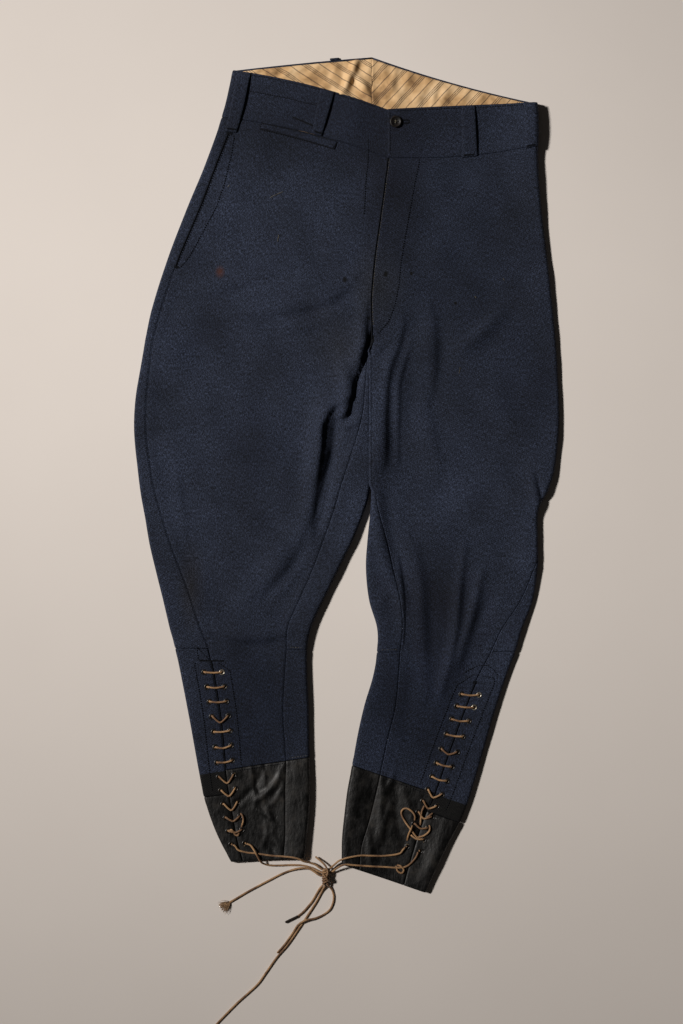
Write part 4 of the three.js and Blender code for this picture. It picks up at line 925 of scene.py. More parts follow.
def navy_twill(name="navy_wool_twill", black_from=None):
    """Wool twill, dyed in the fleece and woven of navy, slate and a few pale fibres: dull,
    with a faint bloom of raised fibre. Old: browned round the fly and at the outer knee,
    with a rust mark and a few moth nips, the nips painted as near-black spots of shade, and
    darkened over the left knee by painted shade of its folds. The real twill lines are 1 mm
    apart, too fine to show here, so they are drawn 2.2 mm apart. Below black_from, if it
    is given, a black stay of the same weave covers it."""
    material, tree, shader = new_material(name, Roughness=0.85, Specular_IOR_Level=0.2,
                                          Sheen_Weight=0.06, Sheen_Roughness=0.5,
                                          Sheen_Tint=linear("#8a97b8"))
    uv = node(tree, "UVMap").outputs["UV"]
    place = node(tree, "TexCoord").outputs["Object"]
    turned = node(tree, "Mapping", [("Vector", uv)], in_Rotation=(0, 0, TWILL_SLANT))
    wale = node(tree, "TexWave", [("Vector", turned.outputs[0])], bands_direction="X",
                in_Scale=1 / (TWILL_LINES * MM) / 3.183, in_Distortion=1.2, in_Detail=2.0,
                in_Detail_Scale=3.0)
    upright = node(tree, "Mapping", [("Vector", uv)], in_Scale=(1.0, 0.28, 1.0))
    yarns = node(tree, "TexNoise", [("Vector", upright.outputs[0])], in_Scale=1050,
                 in_Detail=3, in_Roughness=0.6)
    flecks = node(tree, "TexNoise", [("Vector", place)], in_Scale=1150, in_Detail=3,
                  in_Roughness=0.7)
    clouds = node(tree, "TexNoise", [("Vector", place)], in_Scale=11, in_Detail=5,
                  in_Roughness=0.6)
    body = node(tree, "ValToRGB", [(0, flecks.outputs["Fac"])],
                [(0.37, "#030509"), (0.47, "#121620"), (0.55, "#272d3e"), (0.65, "#5a6682")])
    stripe = node(tree, "ValToRGB", [(0, yarns.outputs["Fac"])],
                  [(0.38, "#05070d"), (0.5, "#191e2c"), (0.62, "#414b63")])
    colour = node(tree, "Mix", [("A", body.outputs[0]), ("B", stripe.outputs[0])],
                  data_type="RGBA", in_0=0.5)
    dark = node(tree, "MapRange", [("Value", clouds.outputs["Fac"])], in_1=0.3, in_2=0.7,
                in_3=0.54, in_4=1.08)
    toned = node(tree, "Mix", [("A", colour.outputs["Result"]), ("B", dark.outputs[0])],
                 data_type="RGBA", blend_type="MULTIPLY", in_0=1.0).outputs["Result"]
    # stains and darkening laid over the twill, with painted shade in the moth nips and over
    # the left knee
    for (x, y), (wide, tall), code, most, way in CLOTH_MARKS_AND_SHADE:
        spread = node(tree, "Mapping", [("Vector", place)], vector_type="TEXTURE",
                      in_Location=(x * MM, y * MM, 0), in_Scale=(wide * MM, tall * MM, 1.0))
        mark = node(tree, "TexGradient", [("Vector", spread.outputs[0])],
                    gradient_type="SPHERICAL")
        amount = node(tree, "Math", [(0, mark.outputs["Fac"])], operation="MULTIPLY",
                      in_1=most)
        toned = node(tree, "Mix", [("Factor", amount.outputs[0]), ("A", toned)],
                     data_type="RGBA", blend_type=way, in_B=linear(code)).outputs["Result"]
    if black_from:
        place_down = node(tree, "SeparateXYZ", [(0, uv)]).outputs[1]
        below = node(tree, "Math", [(0, place_down)], operation="GREATER_THAN",
                     in_1=black_from * MM)
        black = node(tree, "ValToRGB", [(0, flecks.outputs["Fac"])],
                     [(0.4, "#020202"), (0.52, "#0b0b0c"), (0.64, "#1d1c1a")])
        toned = node(tree, "Mix", [("Factor", below.outputs[0]), ("A", toned),
                                   ("B", black.outputs[0])],
                     data_type="RGBA").outputs["Result"]
    tree.links.new(toned, shader.inputs["Base Color"])
    height = node(tree, "Math", [(0, wale.outputs["Fac"]), (1, flecks.outputs["Fac"])],
                  operation="ADD")
    bump = node(tree, "Bump", [("Height", height.outputs[0])], in_Strength=0.6,
                in_Distance=0.3 * MM)
    tree.links.new(bump.outputs[0], shader.inputs["Normal"])
    return material


# ---- fronts and backs ------------------------------------------------
# Four main pieces of twill, cut in one length from the waist seam: the fronts down to the
# cuffs, the backs to the knee. Seams are pressed open, so their edges are round and the
# cloth is a little thicker beside them.
TWILL = navy_twill()
ROW_STEP, FRONT_COLUMNS = 2.9, 96
EYELET_ROWS = 13
TOP_OFFSET, HEM_OFFSET = 11, 8.5       # how far the eyelets lie from the slit


def eyelet_spots(leg):
    """Frames of a leg's eyelets: rows down the placket, with one on each side of the
    slit, closer to it by the hem than at the top."""
    t = np.linspace(0, 1, EYELET_ROWS)
    at = mix(leg["first_eyelet"], leg["last_eyelet"], t)
    offset = mix(TOP_OFFSET, HEM_OFFSET, t)
    slit = leg_at(leg, at[:, None])["outseam"][:, 0]
    return top_spots(leg, np.stack([at, at], 1), np.stack([slit - offset, slit + offset], 1))


def top_spots(leg, at, s):
    """Frames on the upper layer, s in from the side fold: point, normal, and unit ways
    inwards and down the leg."""
    def place_of(row, step):
        return cloth_point(row, *side_place(row, s + step))
    point, normal, across = cloth_spots(leg, at, place_of, leg["side"])
    inwards = unit(across)
    return dict(point=point, normal=normal, inwards=inwards,
                down=unit(np.cross(inwards, normal)) * leg["side"])


HOLE_RADIUS = 2.5
HOLE_REACH = 2.2
PUNCH_SIDES = 14


def punched(piece, points, normals, radius, reach):
    """Cuts round holes: a bar through each point, taken off the piece."""
    bars = []
    for p, n in zip(points.reshape(-1, 3), normals.reshape(-1, 3)):
        bar = np.array([p - reach * n, p, p + reach * n])
        bars.append(tube(bar, reach * np.arange(3), np.full(3, radius), PUNCH_SIDES))
    points, faces, _ = joined(bars)
    cutter_mesh = bpy.data.meshes.new("punch")
    cutter_mesh.from_pydata((points * MM).tolist(), [],
                            [face for part in faces for face in part.tolist()])
    cutter = bpy.data.objects.new("punch", cutter_mesh)
    bpy.context.collection.objects.link(cutter)
    holes = piece.modifiers.new("holes", "BOOLEAN")
    holes.object, holes.operation, holes.solver = cutter, "DIFFERENCE", "EXACT"
    graph = bpy.context.evaluated_depsgraph_get()
    done = bpy.data.meshes.new_from_object(piece.evaluated_get(graph), depsgraph=graph)
    piece.modifiers.clear()
    piece.data = done
    bpy.data.objects.remove(cutter)


def cut_piece(name, part, leg, material, rows, place_of, under=None, inner=SKIN,
              laced=True):
    """A piece of cloth or leather of a leg; under is the piece that it lies on, and so
    marks it as one of the upper layer. Its name's last word is the leg's, as is that of the
    part it stands for."""
    word = leg["name"]
    facing = leg["side"] if under else -leg["side"]
    piece = mesh_piece(f"{name}_{word}", panel(leg, rows, place_of, facing, SKIN, inner),
                       material, [f"{part}_{word}"])
    if laced:
        holes = eyelet_spots(leg)
        punched(piece, holes["point"], holes["normal"], HOLE_RADIUS, HOLE_REACH)
    return piece


for leg in (RIGHT, LEFT):
    rows = rows_between(WAIST_SEAM + HALF_GAP, leg["knee"] - HALF_GAP, ROW_STEP)
    back = cut_piece("twill_back", "back", leg, TWILL, rows,
                     back_place(SEAM_GAP), laced=False)
    rows = rows_between(WAIST_SEAM + HALF_GAP, leg["cuff_front"] - HALF_GAP, ROW_STEP)
    across = columns_across(leg is LEFT, FRONT_COLUMNS)
    cut_piece("twill_front", "front", leg, TWILL, rows,
              front_place(across), back)


def cuff_line(leg, gap):
    """Where a cuff's back begins: lower behind the placket than at the inseam."""
    part = np.concatenate([np.zeros(FOLD_COLUMNS), UNDER,
                           np.ones(BACK_COLUMNS - FOLD_COLUMNS - UNDER_COLUMNS)])
    return mix(leg["cuff_outer"], leg["cuff_front"], ease(part)) + gap


def between_seams(start, end, step):
    """Rows between two seams that needn't be level: one line of places a column."""
    start, end = np.broadcast_arrays(start, end)
    length = float((end - start).mean())
    part = (rows_between(0, length, step) / length)[:, None]
    return mix(start[None], end[None], part)


for leg in (RIGHT, LEFT):
    rows = between_seams(np.full(BACK_COLUMNS, leg["knee"] + HALF_GAP),
                         cuff_line(leg, -HALF_GAP), ROW_STEP)
    stayed = navy_twill(f"navy_wool_twill_with_{leg['name']}_stay", leg["cuff_front"] + 1)
    cut_piece("twill_calf", "back_calf", leg, stayed, rows,
              back_place(SLIT_GAP))


# ---- cuffs -----------------------------------------------------------
# Black glazed leather, skived thin and turned in at the hem; creased soft by the boot
# tops that it was worn under.
def glazed_leather():
    """Black glazed calf leather: a hard shine broken by fine grain, with brown and grey
    patches in noise, partly rubbed wear and partly painted sheen."""
    material, tree, shader = new_material("black_glazed_leather", Roughness=0.5,
                                          Specular_IOR_Level=0.32, Coat_Weight=0.03,
                                          Coat_Roughness=0.25)
    place = node(tree, "TexCoord").outputs["Object"]
    grain = node(tree, "TexVoronoi", [("Vector", place)], in_Scale=1 / (1.3 * MM),
                 feature="SMOOTH_F1")
    scuffs_and_sheen_patches = node(tree, "TexNoise", [("Vector", place)], in_Scale=60, in_Detail=6,
                  in_Roughness=0.7)
    drawn_out = node(tree, "Mapping", [("Vector", place)], in_Scale=(1.0, 0.5, 1.0))
    creased = node(tree, "TexNoise", [("Vector", drawn_out.outputs[0])], in_Scale=150,
                   in_Detail=5, in_Roughness=0.55)
    # the lighter stops are partly rubbed wear and partly painted sheen of glossy patches
    colour = node(tree, "ValToRGB", [(0, scuffs_and_sheen_patches.outputs["Fac"])],
                  [(0.4, "#020202"), (0.52, "#080707"), (0.62, "#1a1816"), (0.76, "#322c27")])
    tree.links.new(colour.outputs[0], shader.inputs["Base Color"])
    rough = node(tree, "MapRange", [("Value", scuffs_and_sheen_patches.outputs["Fac"])], in_1=0.35, in_2=0.7,
                 in_3=0.44, in_4=0.7)
    tree.links.new(rough.outputs[0], shader.inputs["Roughness"])
    bent = node(tree, "Bump", [("Height", creased.outputs["Fac"])], in_Strength=0.55,
                in_Distance=2.2 * MM)
    bump = node(tree, "Bump", [("Height", grain.outputs["Distance"]),
                               ("Normal", bent.outputs[0])], in_Strength=0.2,
                in_Distance=0.3 * MM)
    tree.links.new(bump.outputs[0], shader.inputs["Normal"])
    return material


LEATHER = glazed_leather()
CUFF_STEP, CUFF_COLUMNS = 2.4, 42
for leg in (RIGHT, LEFT):
    rows = between_seams(cuff_line(leg, HALF_GAP), np.full(BACK_COLUMNS, leg["hem"]),
                         CUFF_STEP)
    cuff = cut_piece("leather_back", "cuff_back", leg, LEATHER,
                     rows, back_place(SLIT_GAP))
    rows = rows_between(leg["cuff_front"] + HALF_GAP, leg["hem"], CUFF_STEP)
    across = columns_across(False, CUFF_COLUMNS)
    cut_piece("leather_front", "cuff_front", leg, LEATHER,
              rows, front_place(across), cuff)

# ---- waistband -------------------------------------------------------
# The waistband, in a front and a back part for each side: two layers of the twill over
# canvas, 60 mm deep and 2 mm thick, sewn to the fronts and backs along the waist seam.
BAND = 2.0
BAND_STEP, BAND_COLUMNS = 3.2, 58
for leg in (RIGHT, LEFT):
    rows = rows_between(0, WAIST_SEAM - HALF_GAP, BAND_STEP)
    band = cut_piece("band_back", "waistband_back", leg, TWILL, rows,
                     back_place(SEAM_GAP, opened=True), inner=BAND - SKIN, laced=False)
    across = columns_across(leg is LEFT, BAND_COLUMNS)
    cut_piece("band_front", "waistband_front", leg, TWILL, rows,
              front_place(across), band, inner=BAND - SKIN, laced=False)


# ---- lining ----------------------------------------------------------
# A band of cream striped cotton inside the back waist, cut on the slant so that its
# stripes meet in a point at the centre back, and full enough to pucker and fold.
LINING = 1.0
LINING_TOP = 2.5
LINING_AT_SIDE, LINING_AT_MIDDLE = 30, 84       # how far down it reaches
LINING_SIDE_GAP = 12
LINING_ROWS, LINING_COLUMNS = 44, 130
LEAST_LIFT = -0.15     # how far a pucker may sink towards the waistband
STRIPE_WAY = {"right": -33, "left": 47}
STRIPE_REPEAT = 22
STRIPES = ((4, 0.5), (6, 0.5), (8, 0.5), (17, 0.55))      # place and width
LINING_LAP = 0.5       # the halves are sewn edge over edge at the centre back
LINING_PLEATS = [
    # the deep pleat to the right of the centre seam, and a second one across it
    (14, 524, -8, 474, 2, 5, 6), (30, 518, 16, 470, 3, 6, 2.4), (13, 498, 32, 466, 0, 5, 4),
    (0, 514, 22, 474, -2, 4, -1.8), (-14, 508, -26, 486, 2, 5, 2.0),
    (-34, 514, -50, 496, 1, 4, 1.7), (-48, 512, -70, 494, -2, 4, 1.5),
    (-62, 511, -88, 494, 2, 4, 1.7), (-86, 509, -100, 498, 0, 4, 1.5),
    (-108, 507, -120, 499, 0, 4, 1.5), (46, 514, 64, 470, -3, 5, 1.9),
    (62, 510, 48, 468, 2, 4, 1.5), (80, 507, 62, 468, 3, 5, 1.7),
    (104, 497, 86, 466, 2, 5, 1.9), (118, 492, 108, 464, -2, 4, 1.5),
    (134, 488, 116, 462, -2, 5, 1.7), (154, 483, 142, 464, 0, 4, 1.6),
    (174, 477, 160, 464, 0, 4, 1.5), (196, 472, 184, 463, 0, 4, 1.3)]


def pucker(x, y, mirrored):
    """Small puckers of thin cotton: short waves that run along the stripes, broken up
    by others across them."""
    along = x * 0.7 - y * 0.7 * mirrored
    across = x * 0.7 * mirrored + y * 0.7
    return (0.6 * np.sin(along / 3.1 + 1.4 * np.sin(across / 9))
            * np.sin(across / 6 + np.sin(along / 13))
            + 0.28 * np.sin(along / 6.1 + 2.6 * np.sin(across / 13 + 1))
            + 0.25 * np.sin((along + across) / 4.3 + 1.5 * np.sin(along / 11)))


def lining_shape(leg):
    """The lining's wall: from just below the waist edge down to a line that falls
    towards the centre back, just clear of the waistband, with its pleats and puckers."""
    height = BAND + SEAM_GAP + LINING / 2
    u = np.linspace(0, 1, LINING_COLUMNS)[None, :] ** 0.85
    depth = mix(LINING_AT_SIDE, LINING_AT_MIDDLE, ease(1.6 * u))
    at = mix(LINING_TOP, depth, np.linspace(0, 1, LINING_ROWS)[:, None])

    def point(at, u):
        row = leg_at(leg, at)
        width = layer_width(row, "back")
        flat = 0 * width + 0 * u
        spot = cloth_point(row, mix(LINING_SIDE_GAP, width + LINING_LAP, u), flat + height,
                           flat)
        free = np.clip((u + 0.02) * 8, 0, 1) * np.clip((at - LINING_TOP) / 6, 0, 1)
        lifted = (crease_height(LINING_PLEATS, spot[..., 0], spot[..., 1])
                  + free * (pucker(spot[..., 0], spot[..., 1], leg["side"]) + 0.3))
        spot[..., 2] += np.maximum(lifted, LEAST_LIFT)
        return spot
    down = point(at + 1, u) - point(at - 1, u)
    across = point(at, u + 0.002) - point(at, u - 0.002)
    normals = unit(np.cross(down, across)) * leg["side"]
    points = point(at, u)
    edge = np.full(points.shape[:2], 9.0)
    edge[[0, -1]] = edge[:, [0, -1]] = 0
    stripe_way = math.radians(STRIPE_WAY[leg["name"]])
    x, y = points[..., 0], points[..., 1]
    uv = np.stack([-x * math.sin(stripe_way) + y * math.cos(stripe_way),
                   x * math.cos(stripe_way) + y * math.sin(stripe_way)], -1)
    return wall(points, normals, leg["side"], edge, uv, LINING / 2, LINING / 2)


def striped_cotton():
    """Cotton drill, cream gone yellow with age, woven with thin dark stripes in turn
    three together and one alone; dull, and stained in soft patches."""
    material, tree, shader = new_material("striped_cotton_drill", Roughness=0.75,
                                          Specular_IOR_Level=0.3, Sheen_Weight=0.1)
    uv = node(tree, "UVMap").outputs["UV"]
    place = node(tree, "TexCoord").outputs["Object"]
    across = node(tree, "SeparateXYZ", [(0, uv)]).outputs["X"]
    wander = node(tree, "TexNoise", [("Vector", place)], in_Scale=55, in_Detail=2)
    bent = node(tree, "Math", [(0, wander.outputs["Fac"]), (2, across)],
                operation="MULTIPLY_ADD", in_1=2.2 * MM)
    strength = None
    for centre, width in STRIPES:
        moved = node(tree, "Math", [(0, bent.outputs[0])], operation="ADD", in_1=-centre * MM)
        folded = node(tree, "Math", [(0, moved.outputs[0])], operation="PINGPONG",
                      in_1=STRIPE_REPEAT / 2 * MM)
        line = node(tree, "MapRange", [("Value", folded.outputs[0])], in_1=width * 0.5 * MM,
                    in_2=width * 1.3 * MM, in_3=1.0, in_4=0.0)
        if strength is None:
            strength = line.outputs[0]
        else:
            strength = node(tree, "Math", [(0, strength), (1, line.outputs[0])],
                            operation="MAXIMUM").outputs[0]
    stains = node(tree, "TexNoise", [("Vector", place)], in_Scale=26, in_Detail=5,
                  in_Roughness=0.6)
    cloth = node(tree, "ValToRGB", [(0, stains.outputs["Fac"])],
                 [(0.32, "#80603f"), (0.44, "#bd9769"), (0.58, "#d8b588"), (0.78, "#efd4ad")])
    threads = node(tree, "TexNoise", [("Vector", place)], in_Scale=900, in_Detail=2)
    worn = node(tree, "MapRange", [("Value", threads.outputs["Fac"])], in_1=0.3, in_2=0.6,
                in_3=0.5, in_4=0.95)
    shown = node(tree, "Math", [(0, strength), (1, worn.outputs[0])], operation="MULTIPLY")
    colour = node(tree, "Mix", [("Factor", shown.outputs[0]), ("A", cloth.outputs[0])],
                  data_type="RGBA", in_B=linear("#2e2423"))
    tree.links.new(colour.outputs["Result"], shader.inputs["Base Color"])
    bump = node(tree, "Bump", [("Height", threads.outputs["Fac"])], in_Strength=0.35,
                in_Distance=0.25 * MM)
    tree.links.new(bump.outputs[0], shader.inputs["Normal"])
    return material


COTTON = striped_cotton()
for leg in (RIGHT, LEFT):
    name = leg["name"]
    lining = mesh_piece(f"lining_{name}", lining_shape(leg), COTTON,
                        [f"lining_back_{name}"])


# ---- belt loops and watch pocket -------------------------------------
# Folded strips of twill, tacked down at both ends over the waistband; the welt of the
# watch pocket is a doubled strip let into the waist seam.
def strip_on(leg, steps, start, end, near, far, thickness, arch):
    """The shape of a strip on the upper layer, just clear of the cloth: start and end are
    its places down the leg at either edge, near and far how far in from the side fold
    its edges lie at the top and the foot; arch is how far its middle stands off."""
    def soft(count):
        inside = np.linspace(0, 1, count)
        return np.concatenate([[0, 0.012, 0.03], inside[1:-1], [0.97, 0.988, 1]])
    t, u = soft(steps[0])[:, None], soft(steps[1])[None, :]
    at = mix(mix(*start, u), mix(*end, u), t)
    s = mix(mix(*near, t), mix(*far, t), u)
    spot = top_spots(leg, at, s)
    clear = SKIN + SEAM_GAP + thickness / 2 + arch * np.sin(math.pi * t) ** 0.7
    points = spot["point"] + spot["normal"] * clear[..., None]
    wide = np.linalg.norm(points[:, -1:] - points[:, :1], axis=-1)
    long = np.linalg.norm(points[-1:] - points[:1], axis=-1)
    edge = np.minimum(np.minimum(u, 1 - u) * wide, np.minimum(t, 1 - t) * long)
    uv = np.stack(np.broadcast_arrays(s, at), -1)
    return wall(points, spot["normal"], leg["side"], edge, uv, thickness / 2, thickness / 2)


LOOP_THICKNESS = 1.5
LOOP_ARCH = 1.6
LOOP_START = 0.5
# name, leg, steps along and across, how far in from the side fold the two edges lie, at
# the top and at the foot, and the section where the loop ends
BELT_LOOPS = [
    ("right_side", RIGHT, (30, 12), (6, 10), (24, 25), 74),
    ("right_front", RIGHT, (30, 12), (114, 116), (132, 129), 60),
    ("left_front", LEFT, (30, 12), (78, 76), (95, 95), 62),
    ("left_side", LEFT, (30, 24), (2.5, 2.5), (16, 16), 62)]
for name, leg, steps, near, far, end in BELT_LOOPS:
    shape = strip_on(leg, steps, (LOOP_START, LOOP_START), (end, end), near, far,
                     LOOP_THICKNESS, LOOP_ARCH)
    mesh_piece(f"loop_{name}", shape, TWILL, [f"belt_loop_{name}"])

# the back loop: only its folded top shows past the waist edge
LOOP_WIDTH, LOOP_DEEP, LOOP_TALL, LOOP_AT, LOOP_TURN = 11, 2.6, 3.2, (-15, 519.6), 0.09
LOOP_END = LOOP_WIDTH / 2 - 0.44        # where its rounded ends begin
side_path = np.zeros((5, 3))
side_path[:, 0] = -LOOP_END, -LOOP_WIDTH / 4, 0, LOOP_WIDTH / 4, LOOP_END
angle = np.linspace(0, 2 * math.pi, 20, endpoint=False)
rounded = (np.abs(np.cos(angle) / (LOOP_DEEP / 2)) ** 4
           + np.abs(np.sin(angle) / (LOOP_TALL / 2)) ** 4) ** -0.25
points, faces, uv = tube(side_path, side_path[:, 0], np.repeat(rounded[None], 5, 0), 20)
cos, sin = math.cos(LOOP_TURN), math.sin(LOOP_TURN)
points = np.stack([LOOP_AT[0] + points[:, 0] * cos - points[:, 1] * sin,
                   LOOP_AT[1] + points[:, 0] * sin + points[:, 1] * cos,
                   points[:, 2] + LOOP_TALL / 2], -1)
mesh_piece("loop_back", (points, faces, uv), TWILL, ["belt_loop_back"])

WELT_THICKNESS = 1.2
shape = strip_on(RIGHT, (10, 30), (61, 62), (66, 71), (53, 53), (150, 148),
                 WELT_THICKNESS, 0)
mesh_piece("watch_pocket_lip", shape, TWILL, ["watch_pocket_welt"])


# ---- button ----------------------------------------------------------
# A four-hole horn button, dished in the middle, sewn through the band with pale thread,
# and the stitched hole that it has passed.
BUTTON = 15
BUTTON_AT, BUTTON_IN = 16, 10


def turned(profile, count, frame_at):
    """The shape of a profile, pairs of distance from the axis and height, turned round
    the normal of a frame: a disc where it starts and ends on the axis, or else a ring."""
    profile = np.array(profile, float)
    angle = np.linspace(0, 2 * math.pi, count, endpoint=False)
    point, normal, one = frame_at
    two = np.cross(normal, one)
    way = np.cos(angle)[:, None] * one + np.sin(angle)[:, None] * two
    rings = (point + profile[:, 0, None, None] * way[None]
             + profile[:, 1, None, None] * normal)
    if profile[0, 0]:
        points = rings.reshape(-1, 3)
        faces = [ring_faces(len(rings), count, closed=True)[2]]
    else:
        points = np.concatenate([rings[1:-1].reshape(-1, 3), rings[[0, -1], 0]])
        faces = [ring_faces(len(rings) - 2, count)[2], end_fans(len(rings) - 2, count)]
    return points, faces, [points[part][..., :2] for part in faces]


row = leg_at(LEFT, np.array([[BUTTON_AT]]))
button_s = float(layer_width(row, "front")[0, 0]) - BUTTON_IN
spot = top_spots(LEFT, np.array([BUTTON_AT]), np.array([button_s]))
button_frame = (spot["point"][0] + spot["normal"][0] * (SKIN + 2 * SEAM_GAP),
                spot["normal"][0], spot["inwards"][0])
r = BUTTON / 2
profile = [(0, 0), (r - 2, 0), (r - 0.9, 0.25), (r - 0.2, 0.8), (r, 1.3), (r - 0.15, 1.9),
           (r - 0.6, 2.4), (r - 1.2, 2.6), (r - 1.8, 2.55), (r - 2.4, 2.2), (r - 2.9, 1.9),
           (r - 3.6, 1.8), (1, 1.8), (0, 1.8)]
# polished horn: layered brown and black along the plate, with a quiet gloss
horn = mottled("dark_horn", 160, 5, [(0.35, "#050404"), (0.55, "#0e0b09"), (0.75, "#221913")],
               stretch=(1.0, 3.5, 1.0), Roughness=0.5, Specular_IOR_Level=0.25,
               Coat_Weight=0.04, Coat_Roughness=0.3)
button = mesh_piece("horn_button", turned(profile, 48, button_frame), horn,
                    ["waist_button"])
point, normal, one = button_frame
two = np.cross(normal, one)
THREAD_HOLE, HOLE_OFF = 0.85, 1.9       # its radius, and its distance from the middle
corners = [HOLE_OFF * (math.cos(a) * one + math.sin(a) * two)
           for a in np.radians((45, 135, 225, 315))]
punched(button, point + np.array(corners) + 1.3 * normal, np.repeat(normal[None], 4, 0),
        THREAD_HOLE, 3)


def sewing_thread(name, dark, pale):
    """Spun cotton thread in the two shades given: dull, with hardly any shine."""
    return mottled(name, 700, 1, [(0.35, dark), (0.65, pale)], Roughness=0.85,
                   Specular_IOR_Level=0.12, Sheen_Weight=0.04)


# near-black thread: real stitching, and also painted shade of seam furrows and painted shadow
# in gaping mouths
DARK_THREAD_AND_SHADE = sewing_thread("navy_thread_and_painted_shade", "#06070a", "#10131b")
PALE_THREAD = sewing_thread("faded_thread", "#34332f", "#77705f")
shank = [np.array([c + point + 0.8 * normal, (c + d) / 2 + point + 2.45 * normal,
                   d + point + 0.8 * normal])
         for c, d in ((corners[0], corners[1]), (corners[2], corners[3]),
                      (corners[0], corners[2]))]
mesh_piece("button_thread", joined([tube(*smooth_path(way, 0.35), 0.42, 8) for way in shank]),
           PALE_THREAD)


# ---- seams' stitching ------------------------------------------------
# Lockstitch in near-black cotton, darker than the navy cloth, so that its rows also carry
# painted shade of the seams' furrows, and a few rows that have faded pale; bar tacks and a
# worked buttonhole in the same thread.
THREAD = 0.36          # the thickness that the heights of a stitch are given for
THREAD_SIDES = 5


def stitched(path, long, apart, thick, side=None):
    """The shape of a row of stitches along a path of frames (points, normals): every
    apart millimetres a thread of the length long that comes up out of the cloth, lies
    on it and goes down again. side turns them, each lying that far across the row."""
    points, normals = path
    steps = np.linalg.norm(np.diff(points, axis=0), axis=1)
    way = np.concatenate([[0], np.cumsum(steps)])
    count = max(int(way[-1] / apart), 1)
    middles = (np.arange(count) + 0.5) * way[-1] / count
    part = np.array([-0.5, -0.375, 0, 0.375, 0.5])
    height = np.array([-0.35, 0.12, 0.2, 0.12, -0.35]) / THREAD * thick
    radius = np.array([0.3, 0.5, 0.525, 0.5, 0.3]) * thick

    def at(places):
        spot = np.stack([np.interp(places, way, points[:, k]) for k in range(3)], -1)
        up = np.stack([np.interp(places, way, normals[:, k]) for k in range(3)], -1)
        return spot, unit(up)
    ahead = unit(at(middles + 0.3)[0] - at(middles - 0.3)[0])
    if side is None:
        spot, up = at(middles[:, None] + part * long)
    else:
        spot, up = at(np.repeat(middles[:, None], len(part), 1))
        across = np.cross(up[:, 0], ahead)
        spot = spot + across[:, None] * (part * side)[None, :, None]
        ahead = across
    spot = spot + up * height[None, :, None]
    flank = np.cross(up, ahead[:, None])
    angle = np.linspace(0, 2 * math.pi, THREAD_SIDES, endpoint=False)
    rings = spot[:, :, None] + radius[None, :, None, None] * (
        np.cos(angle)[:, None] * flank[:, :, None] + np.sin(angle)[:, None] * up[:, :, None])
    size = len(part) * THREAD_SIDES
    k, i, j = np.mgrid[:count, :len(part) - 1, :THREAD_SIDES].reshape(3, -1)
    ring, following = k * size + i * THREAD_SIDES, (j + 1) % THREAD_SIDES
    faces = np.stack([ring + j, ring + THREAD_SIDES + j, ring + THREAD_SIDES + following,
                      ring + following], -1)
    first = np.arange(count)[:, None] * size
    ends = np.concatenate([first + np.arange(THREAD_SIDES),
                           first + np.arange(size)[:-THREAD_SIDES - 1:-1]])
    flat = rings.reshape(-1, 3)
    return flat, [faces, ends], [flat[faces][..., :2], flat[ends][..., :2]]


LINE_CLEAR = 0.1


def line_on(leg, edge, stops, step=1.5):
    """A line on the upper layer as (points, normals), from (at, in) stops: in is how far
    it lies in from the outseam (past it where negative) or from the middle edge."""
    stops = np.array(stops, float)
    way = np.concatenate([[0], np.cumsum(np.hypot(*np.diff(stops, axis=0).T))])
    fine = np.linspace(0, way[-1], max(int(way[-1] / step), 2) + 1)
    at, inward = (np.interp(fine, way, stops[:, k]) for k in (0, 1))
    row = leg_at(leg, at)
    if edge == "outseam":
        s = row["outseam"] + inward
    elif edge == "fold":
        s = inward
    else:
        seam = row["inseam"] if edge == "inseam" else 0
        s = (half_turn(row) + layer_width(row, "front") - seam - SKIN
             - fold_radius(row["lift_out"]) - inward)
    spot = top_spots(leg, at, s)
    return spot["point"] + spot["normal"] * (SKIN + LINE_CLEAR), spot["normal"]


# Each line has its leg, the edge that it keeps to, and its stops: places down the leg with
# their distance in from that edge.
NAVY_ROWS = [
    # fly, from the waist seam round to the crotch
    (LEFT, "middle", [(61, 40), (110, 38), (156, 36), (214, 34), (250, 34), (275, 30),
                      (295, 21), (310, 8)]),
    (LEFT, "middle", [(61, 0.7), (316, 0.7)]),
    (RIGHT, "middle", [(45, 25), (110, 23), (150, 20)]),
    # side pocket's facing, and the edge of its mouth
    (RIGHT, "outseam", [(76, 3), (78, 9), (95, 14), (125, 19), (150, 20), (175, 17),
                        (195, 15), (212, 12), (222, 7), (224, 1)]),
    (RIGHT, "outseam", [(76, 2.2), (220, 2.2)]),
    # watch pocket's lip, and the short slit above it
    (RIGHT, "fold", [(60.5, 52), (61.5, 150), (72, 148.5), (67.5, 52), (60.5, 52)]),
    (RIGHT, "fold", [(46, 88), (50, 115)]),
    # waistband
    (RIGHT, "fold", [(24, 24), (24, 116)]), (RIGHT, "fold", [(3, 12), (3, 184)]),
    (LEFT, "fold", [(3, 18), (3, 176)]), (LEFT, "middle", [(4, 3), (56, 3)]),
    # lacing facings, on both sides of the eyelets
    (RIGHT, "outseam", [(716, -20), (720, -22), (868, -20)]),
    (RIGHT, "outseam", [(716, 8), (726, 21), (842, 20)]),
    (LEFT, "outseam", [(728, -4), (730, -20), (736, -24), (870, -21)]),
    (LEFT, "outseam", [(726, 6), (740, 22), (852, 21)]),
    (LEFT, "outseam", [(724, 19), (716, 8), (715, -4), (720, -14), (727, -24)]),
    (RIGHT, "outseam", [(697, -14), (713, -2), (713, -16), (697, -14)]),
    # cuffs, along their top edges and hems
    (RIGHT, "inseam", [(847, 3), (847, 66)]), (LEFT, "inseam", [(858, 3), (858, 70)]),
    (RIGHT, "inseam", [(956, 2), (956, 40)]), (LEFT, "inseam", [(966, 2), (966, 40)]),
]
